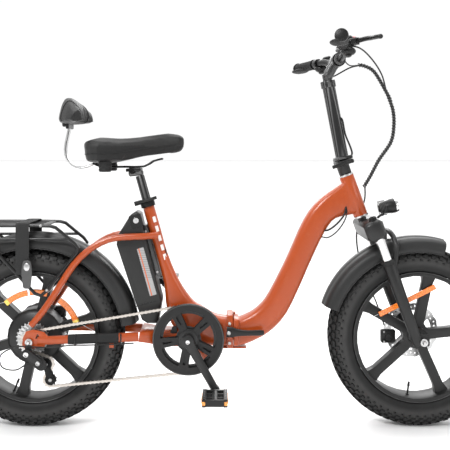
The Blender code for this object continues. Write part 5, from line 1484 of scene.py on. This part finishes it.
def seat_tube_band(name, low, high, first, last, material):
    """A band painted on the seat tube, between two angles measured from its right-hand side."""
    foot, top = up_seat_tube(low), up_seat_tube(high)
    forward = LEFT.cross((top - foot).normalized())
    outs = []
    for step in range(BAND_STEPS + 1):
        angle = math.radians(first + (last - first) * step / BAND_STEPS)
        outs.append(forward * math.sin(angle) - LEFT * math.cos(angle))
    rings = []
    for spot in (foot, top):
        outer = [spot + out * (SEAT_TUBE_RADIUS + BAND_PROUD) for out in outs]
        inner = [spot + out * (SEAT_TUBE_RADIUS - 0.0010) for out in outs[::-1]]
        rings.append(outer + inner)
    Shape().skin(rings).piece(name, material, "rear_frame", smooth=40)


DASH_PITCH = 0.030
for index in range(5):
    low = 0.646 - DASH_PITCH * index
    seat_tube_band(f"seat_tube_dash_{index + 1}", low, low + 0.018, 14, 46, STRIPE)
seat_tube_band("seat_tube_dark_stripe", 0.470, 0.560, 54, 66, PLASTIC)
for label, spot, up in (("upper", HEAD_TOP, STEER_UP), ("lower", HEAD_FOOT, -STEER_UP)):
    cup = [(0.0180, -0.004), (0.0248, -0.004), (0.0252, 0.0), (0.0246, 0.0015), (0.0180, 0.0015)]
    Shape().turned(cup, spot, up, 48).piece(f"{label}_headset_ring", STEEL, "front_frame", smooth=30)
protector = []
for x, across, height, half_wide, half_high in (
    (-0.492, 0.0812, 0.2900, 0.0086, 0.0154),
    (-0.450, 0.0763, 0.2902, 0.0088, 0.0156),
    (-0.400, 0.0700, 0.2905, 0.0091, 0.0158),
    (-0.355, 0.0660, 0.2908, 0.0090, 0.0160),
    (-0.337, 0.0643, 0.2910, 0.0088, 0.0160),
):
    ring = []
    for step in range(24):
        angle = TAU * step / 24
        square = (abs(math.cos(angle)) ** 3 + abs(math.sin(angle)) ** 3) ** (-1 / 3)
        wide = half_wide * square * math.cos(angle)
        high = half_high * square * math.sin(angle)
        ring.append(Vector((x, wide - across, height + high)))
    protector.append(ring)
Shape().skin(protector).piece("chainstay_protector", GRIP, "rear_frame", smooth=40)
Shape().slab(
    round_outline([(-0.181, 0.293), (-0.156, 0.298), (-0.158, 0.3216), (-0.172, 0.318)], 0.004),
    -0.0365,
    -0.0335,
).piece("bracket_gusset_plate", PLASTIC, "rear_frame", bevel=0.0008)
Shape().box((0.014, 0.004, 0.018), (-0.360, -0.0640, 0.2680)).piece(
    "stay_cable_tab", ORANGE, "rear_frame", bevel=0.001
)
for index, (x, z) in enumerate(((0.0105, 0.330), (0.0105, 0.268))):
    bolt(f"hinge_bolt_{index + 1}", (x, -0.0435, z), -LEFT, 0.0052, "rear_frame")
bolt("hinge_lever_pivot", (0.008, -0.0625, 0.305), -LEFT, 0.0060, "hinge_lever")
for side, sign in SIDES:
    for label, axle, body, across in (
        ("rear", REAR_AXLE, "rear_frame", 0.0975),
        ("front", FRONT_AXLE, "fork_lowers", 0.1020),
    ):
        nut = [(0, 0.011), (0.0045, 0.011), (0.0058, 0.009), (0.0062, 0.002), (0.0115, 0.002)]
        nut += [(0.0120, -0.002), (0, -0.002)]
        Shape().turned(nut, axle + LEFT * sign * across, LEFT * sign, 36).piece(
            f"{side}_{label}_axle_cap", STEEL, body, smooth=30
        )


LEG_FORWARD = 0.018
LEG_ACROSS = 0.0865


def on_leg(up, sign):
    """A place on the axis of a fork leg."""
    return HEAD_FOOT + STEER_FORWARD * LEG_FORWARD + STEER_UP * up + LEFT * sign * LEG_ACROSS


for side, sign in SIDES:
    seal = [(0.0158, 0.004), (0.0190, 0.004), (0.0222, 0.001), (0.0226, -0.004)]
    seal += [(0.0215, -0.009), (0.0158, -0.009)]
    Shape().turned(seal, on_leg(-0.1495, sign), STEER_UP, 40).piece(
        f"{side}_stanchion_seal", GRIP, "fork_lowers", smooth=30
    )
    bolt(f"{side}_crown_cap", on_leg(-0.0112, sign), STEER_UP, 0.0130, "fork", DARK_ALLOY)


# ---------------------------------------------------------------- headlight and display

AIM = Vector((math.cos(math.radians(12)), 0, math.sin(math.radians(12))))
LAMP_FACE = LAMP_CENTRE + AIM * 0.030
dome = [(0.0, 0.0070), (0.0080, 0.0064), (0.0145, 0.0046), (0.0188, 0.0020), (0.0205, -0.0010)]
dome.append((0, -0.0010))
Shape().turned(dome, LAMP_FACE, AIM, 48).piece("headlight_lens", LENS, "headlight", smooth=60)
bezel = [(0.0200, 0.0030), (0.0225, 0.0036), (0.0242, 0.0015), (0.0244, -0.0060), (0.0200, -0.0060)]
Shape().turned(bezel, LAMP_FACE, AIM, 48).piece("headlight_bezel", CHROME, "headlight", smooth=40)
fins = Shape()
for step in range(5):
    spot = LAMP_CENTRE - AIM * (0.008 + 0.0046 * step)
    fin = [(0.0225, 0.0009), (0.0244, 0.0006), (0.0244, -0.0006), (0.0225, -0.0009)]
    fins.turned(fin, spot, AIM, 48)
fins.piece("headlight_fins", GREY_PLASTIC, "headlight", smooth=30)

TILT = turn_about("Y", -22)
DISPLAY = BAR_CENTRE + Vector((0.026, 0, 0.046))
Shape().box((0.0380, 0.0600, 0.0012), DISPLAY + TILT @ Vector((0.003, 0, 0.0084)), TILT).piece(
    "display_screen", GLASS, "handlebar", bevel=0.0005, turned_bar=True
)
keys = Shape()
for step in (-1, 0, 1):
    keys.box((0.0050, 0.0130, 0.0024), DISPLAY + TILT @ Vector((-0.0205, 0.020 * step, 0.0086)), TILT)
keys.piece("display_keys", GRIP, "handlebar", bevel=0.0008, turned_bar=True)


# ---------------------------------------------------------------- handlebar


def mirrored(point):
    """The same place on the right-hand side."""
    return Vector((point[0], -point[1], point[2]))


def along_grip(share):
    """A place on the left grip's axis, from 0 at its inner end to 1 at its outer end."""
    return GRIP_INNER.lerp(GRIP_OUTER, share)


HANDS = (("right", mirrored), ("left", Vector))
half_bar = [
    BAR_CENTRE + LEFT * 0.010,
    BAR_CENTRE + LEFT * 0.060,
    BAR_CENTRE + Vector((-0.003, 0.095, 0.005)),
    along_grip(-0.5),
    along_grip(0.0),
    along_grip(0.93),
]
whole_bar = [mirrored(p) for p in half_bar[::-1]] + half_bar
bar = Shape().tube(curve_through(whole_bar, 10), 0.0110, 28)
bar.rod(BAR_CENTRE - LEFT * 0.022, BAR_CENTRE + LEFT * 0.022, 0.0215, 40)
bar = bar.piece("handlebar_tube", DARK_ALLOY, "handlebar", smooth=35, turned_bar=True)
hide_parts("handlebar")
bolt("bar_clamp_bolt", BAR_CENTRE - LEFT * 0.0222, -LEFT, 0.0080, "handlebar", STEEL, True)
for side, flip in HANDS:
    spots = [flip(along_grip(0.02 + 0.94 * step / 60)) for step in range(61)]
    grip = Shape().tube(spots, lambda index, angle: 0.0156 + 0.0014 * (index % 3 > 0), 32)
    for share in (0.0, 0.97):
        grip.rod(flip(along_grip(share - 0.02)), flip(along_grip(share + 0.02)), 0.0182, 36)
    palm_turn = turn_about("Z", 15 if side == "left" else -15)
    palm = flip(along_grip(0.70)) + Vector((-0.0080, 0, -0.0130))
    grip.ball((0.0270, 0.0440, 0.0085), palm, palm_turn, 14)
    made = grip.piece(f"{side}_grip_sleeve", GRIP, "handlebar", smooth=50, turned_bar=True)
    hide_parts(f"{side}_grip")
    cap = [(0, 0.0034), (0.0150, 0.0034), (0.0190, 0.0014), (0.0200, -0.004), (0, -0.004)]
    end = flip(along_grip(0.995))
    outward = (end - flip(along_grip(0.9))).normalized()
    Shape().turned(cap, end, outward, 36).piece(
        f"{side}_grip_end", PLASTIC, "handlebar", smooth=40, turned_bar=True
    )


def blade_reach(index, angle):
    """A lever blade's radius: flatter than round, and slimmer towards its tip."""
    return 0.0062 - 0.00003 * index + 0.0014 * math.sin(angle) ** 2


blade_steps = [(-0.006, -0.008, 0), (0.018, 0.018, 0.004), (0.028, 0.050, 0.001)]
blade_steps += [(0.030, 0.092, -0.004), (0.036, 0.112, -0.006)]
for side, flip in HANDS:
    pivot = along_grip(-0.18) + Vector((0.043, 0.004, 0.0135))
    line = curve_through([flip(pivot + Vector(step)) for step in blade_steps], 8)
    blade = Shape().tube(line, blade_reach, 16)
    blade.ball((0.0072, 0.0072, 0.0072), line[-1])
    blade.rod(flip(pivot) - UP * 0.010, flip(pivot) + UP * 0.010, 0.0062, 24)
    blade = blade.piece(f"{side}_lever_blade", PLASTIC, f"{side}_brake_lever", smooth=50, turned_bar=True)
    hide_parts(f"{side}_brake_lever")
    pod = flip(along_grip(-0.16)) + Vector((0.016, 0, -0.017))
    switch = Shape().ball((0.0230, 0.0190, 0.0140), pod)
    switch.ball((0.0100, 0.0150, 0.0060), pod - UP * 0.013)
    switch.box((0.0240, 0.0200, 0.0260), pod + Vector((-0.006, 0, 0.012)))
    switch.piece(f"{side}_switch_pod", PLASTIC, "handlebar", bevel=0.0015, turned_bar=True)
bell = mirrored(along_grip(-0.18)) + Vector((0.0440, 0.044, 0.0200))
cup = [(0, -0.010), (0.0100, -0.010), (0.0120, -0.004), (0.0118, 0.004), (0.0098, 0.0062), (0, 0.0062)]
Shape().turned(cup, bell, UP, 36).piece("horn_pod", PLASTIC, "handlebar", smooth=30, turned_bar=True)
dome = [(0, 0.0095), (0.0040, 0.0092), (0.0072, 0.0078), (0.0088, 0.0050), (0.0088, -0.002), (0, -0.002)]
push = Shape().turned(dome, bell + UP * 0.0072, UP, 36).piece(
    "horn_push", red_plastic(), "horn_button", smooth=40, turned_bar=True
)
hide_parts("horn_button")


def hose(name, points, body, radius=0.0025):
    """A hose or cable fixed at both ends, along a smooth route."""
    Shape().tube(curve_through(points, 10), radius, 12).piece(name, HOSE, body)


hose(
    "right_lever_hose",
    [
        mirrored(along_grip(-0.16)) + Vector((0.020, 0, 0.004)),
        (0.400, -0.160, 1.186),
        (0.448, -0.105, 1.160),
        (0.492, -0.045, 1.118),
        (0.5160, -0.006, 1.066),
        (0.5290, 0.000, 1.036),
    ],
    "handlebar",
)
hose(
    "left_lever_hose",
    [
        along_grip(-0.16) + Vector((0.018, 0, 0.004)),
        (0.352, 0.170, 1.162),
        (0.330, 0.120, 1.128),
        (0.352, 0.060, 1.122),
        (0.400, 0.014, 1.146),
        (0.436, 0.002, 1.154),
    ],
    "handlebar",
)
hose(
    "display_cable",
    [(0.386, -0.020, 1.205), (0.372, -0.034, 1.176), (0.392, -0.028, 1.150), (0.430, -0.006, 1.153)],
    "handlebar",
    0.0019,
)
hose(
    "front_brake_hose",
    [
        (0.4500, 0.010, 0.7620),
        (0.4540, 0.040, 0.7150),
        (0.4420, 0.078, 0.6500),
        (0.4400, 0.102, 0.5700),
        (0.462, 0.113, 0.470),
        (0.505, 0.108, 0.370),
        (0.530, 0.085, 0.290),
    ],
    "fork",
)
hose(
    "rear_brake_hose",
    [
        (0.384, -0.020, 0.700),
        (0.374, -0.034, 0.672),
        (0.350, -0.038, 0.644),
        (0.326, -0.034, 0.626),
        (0.310, -0.020, 0.622),
    ],
    "front_frame",
    0.0030,
)
hose(
    "shift_cable",
    [
        (0.386, -0.018, 0.700),
        (0.380, -0.034, 0.664),
        (0.356, -0.038, 0.626),
        (0.326, -0.032, 0.602),
        (0.302, -0.016, 0.602),
    ],
    "front_frame",
    0.0021,
)
hose(
    "derailleur_cable_loop",
    [
        (-0.470, -0.0880, 0.2740),
        (-0.560, -0.0990, 0.2700),
        (-0.640, -0.1060, 0.2740),
        (-0.6930, -0.1080, 0.2500),
        (-0.6900, -0.1080, 0.2120),
        (-0.6500, -0.1060, 0.2020),
        (-0.6180, -0.1030, 0.2180),
    ],
    "rear_frame",
    0.0022,
)
hose(
    "stay_cable",
    [
        (-0.290, -0.0660, 0.2740),
        (-0.360, -0.0740, 0.2725),
        (-0.430, -0.0830, 0.2725),
        (-0.475, -0.0885, 0.2738),
    ],
    "rear_frame",
    0.0022,
)
ties = Shape()
for x, across in ((-0.330, 0.0640), (-0.405, 0.0705), (-0.470, 0.0785)):
    ties.box((0.0034, 0.0205, 0.0350), (x, -across - 0.001, 0.2875))
ties.piece("stay_cable_ties", PLASTIC, "rear_frame", bevel=0.0010)
post_cable = [(0.3660, -0.006, 0.985), (0.3740, -0.008, 0.974), (0.3830, -0.008, 0.930)]
post_cable += [(0.3990, -0.008, 0.890), (0.4050, -0.006, 0.868), (0.3960, -0.004, 0.856)]
hose("post_cable", post_cable, "handlepost", 0.0030)


COIL_STEP = 0.0006
COIL_PITCH = 0.0092


def cable_bundle(name, route):
    """Cables held in a spiral wrap, along a smooth route from one body to the next."""
    line = curve_through(route, 12)
    core = [p for p, _ in spread_evenly(line, 0.004)]
    jacket = Shape().tube(core, 0.0052, 16).piece(f"{name}_core", HOSE, None)
    coil = []
    for index, (spot, ahead) in enumerate(spread_evenly(line, COIL_STEP)):
        out = LEFT.cross(ahead).normalized()
        angle = TAU * index * COIL_STEP / COIL_PITCH
        coil.append(spot + (out * math.cos(angle) + LEFT * math.sin(angle)) * 0.0056)
    spiral = Shape().tube(coil, 0.0017, 6).piece(f"{name}_spiral", WRAP, None, smooth=80)
    for piece in (jacket, spiral):
        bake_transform(piece)
    return spiral


BEND = (0.5218, 0, 1.0571)
lower_route = [BEND, (0.5379, 0, 1.0087), (0.5412, 0, 0.9603), (0.5315, 0, 0.9055)]
lower_route += [(0.4928, 0, 0.8474), (0.4650, 0, 0.7950), (0.4440, 0, 0.7600)]
lower_bundle = cable_bundle(
    "lower_bundle", lower_route
)
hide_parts("cable_bundle")
upper_route = [(0.5300, 0, 1.0370), BEND, (0.4799, 0, 1.1290), (0.4480, 0, 1.1500)]
upper_route.append((0.4250, 0, 1.1540))
cable_bundle("upper_bundle", upper_route)


# ---------------------------------------------------------------- room, light and camera


FLOOR_HALF = 60


def studio():
    """A wide, plain pale floor."""
    mesh = bpy.data.meshes.new("studio_floor")
    corners = [(x * FLOOR_HALF, y * FLOOR_HALF, 0) for x, y in ((-1, -1), (1, -1), (1, 1), (-1, 1))]
    mesh.from_pydata(corners, [], [(0, 1, 2, 3)])
    mesh.materials.append(floor_face())
    floor = bpy.data.objects.new("studio_floor", mesh)
    bpy.context.scene.collection.objects.link(floor)


def lamp(name, at, target, size, power):
    """A soft rectangular lamp, aimed at a target."""
    light = bpy.data.lights.new(name, "AREA")
    light.shape = "RECTANGLE"
    light.size, light.size_y = size
    light.energy = power
    obj = bpy.data.objects.new(name, light)
    obj.location = at
    obj.rotation_euler = (Vector(target) - Vector(at)).to_track_quat("-Z", "Y").to_euler()
    bpy.context.scene.collection.objects.link(obj)


NEAR_SKY = 0.50
FAR_SKY = 1.02


def daylight():
    """A white sky that dims smoothly towards the side the bicycle is seen from."""
    world = bpy.data.worlds.new("soft_daylight")
    world.use_nodes = True
    sky = world.node_tree
    toward = sky.nodes.new("ShaderNodeTexCoord")
    split = sky.nodes.new("ShaderNodeSeparateXYZ")
    level = sky.nodes.new("ShaderNodeMapRange")
    level.interpolation_type = "SMOOTHSTEP"
    level.inputs["From Min"].default_value = -0.9
    level.inputs["From Max"].default_value = 0.1
    level.inputs["To Min"].default_value = NEAR_SKY
    level.inputs["To Max"].default_value = FAR_SKY
    sky.links.new(toward.outputs["Generated"], split.inputs[0])
    sky.links.new(split.outputs["Y"], level.inputs["Value"])
    sky.nodes["Background"].inputs["Color"].default_value = (1.0, 1.0, 1.0, 1)
    sky.links.new(level.outputs["Result"], sky.nodes["Background"].inputs["Strength"])
    bpy.context.scene.world = world


studio()
daylight()
lamp("key_light", (-1.6, -2.4, 3.0), (0, 0, 0.45), (1.5, 1.0), 84)
lamp("fill_light", (2.6, -2.4, 1.6), (0.1, 0, 0.5), (1.6, 1.2), 16)
lamp("top_light", (0, 0.5, 3.2), (0, 0.2, 0.3), (3.6, 1.8), 60)
lamp("floor_wash", (0, 24.0, 12.0), (0, 24.0, 0), (70.0, 46.0), 4400)
lamp("far_side_light", (0.6, 3.0, 1.9), (0, 0, 0.5), (2.2, 1.4), 30)
bpy.context.scene.view_settings.view_transform = "Standard"

lens = bpy.data.cameras.new("side_view")
lens.lens = 57.0
lens.shift_y = -0.1667
camera = bpy.data.objects.new("side_view", lens)
camera.location = (-0.004, -2.3, 0.8797)
camera.rotation_euler = (math.radians(90), 0, 0)
bpy.context.scene.collection.objects.link(camera)
bpy.context.scene.camera = camera
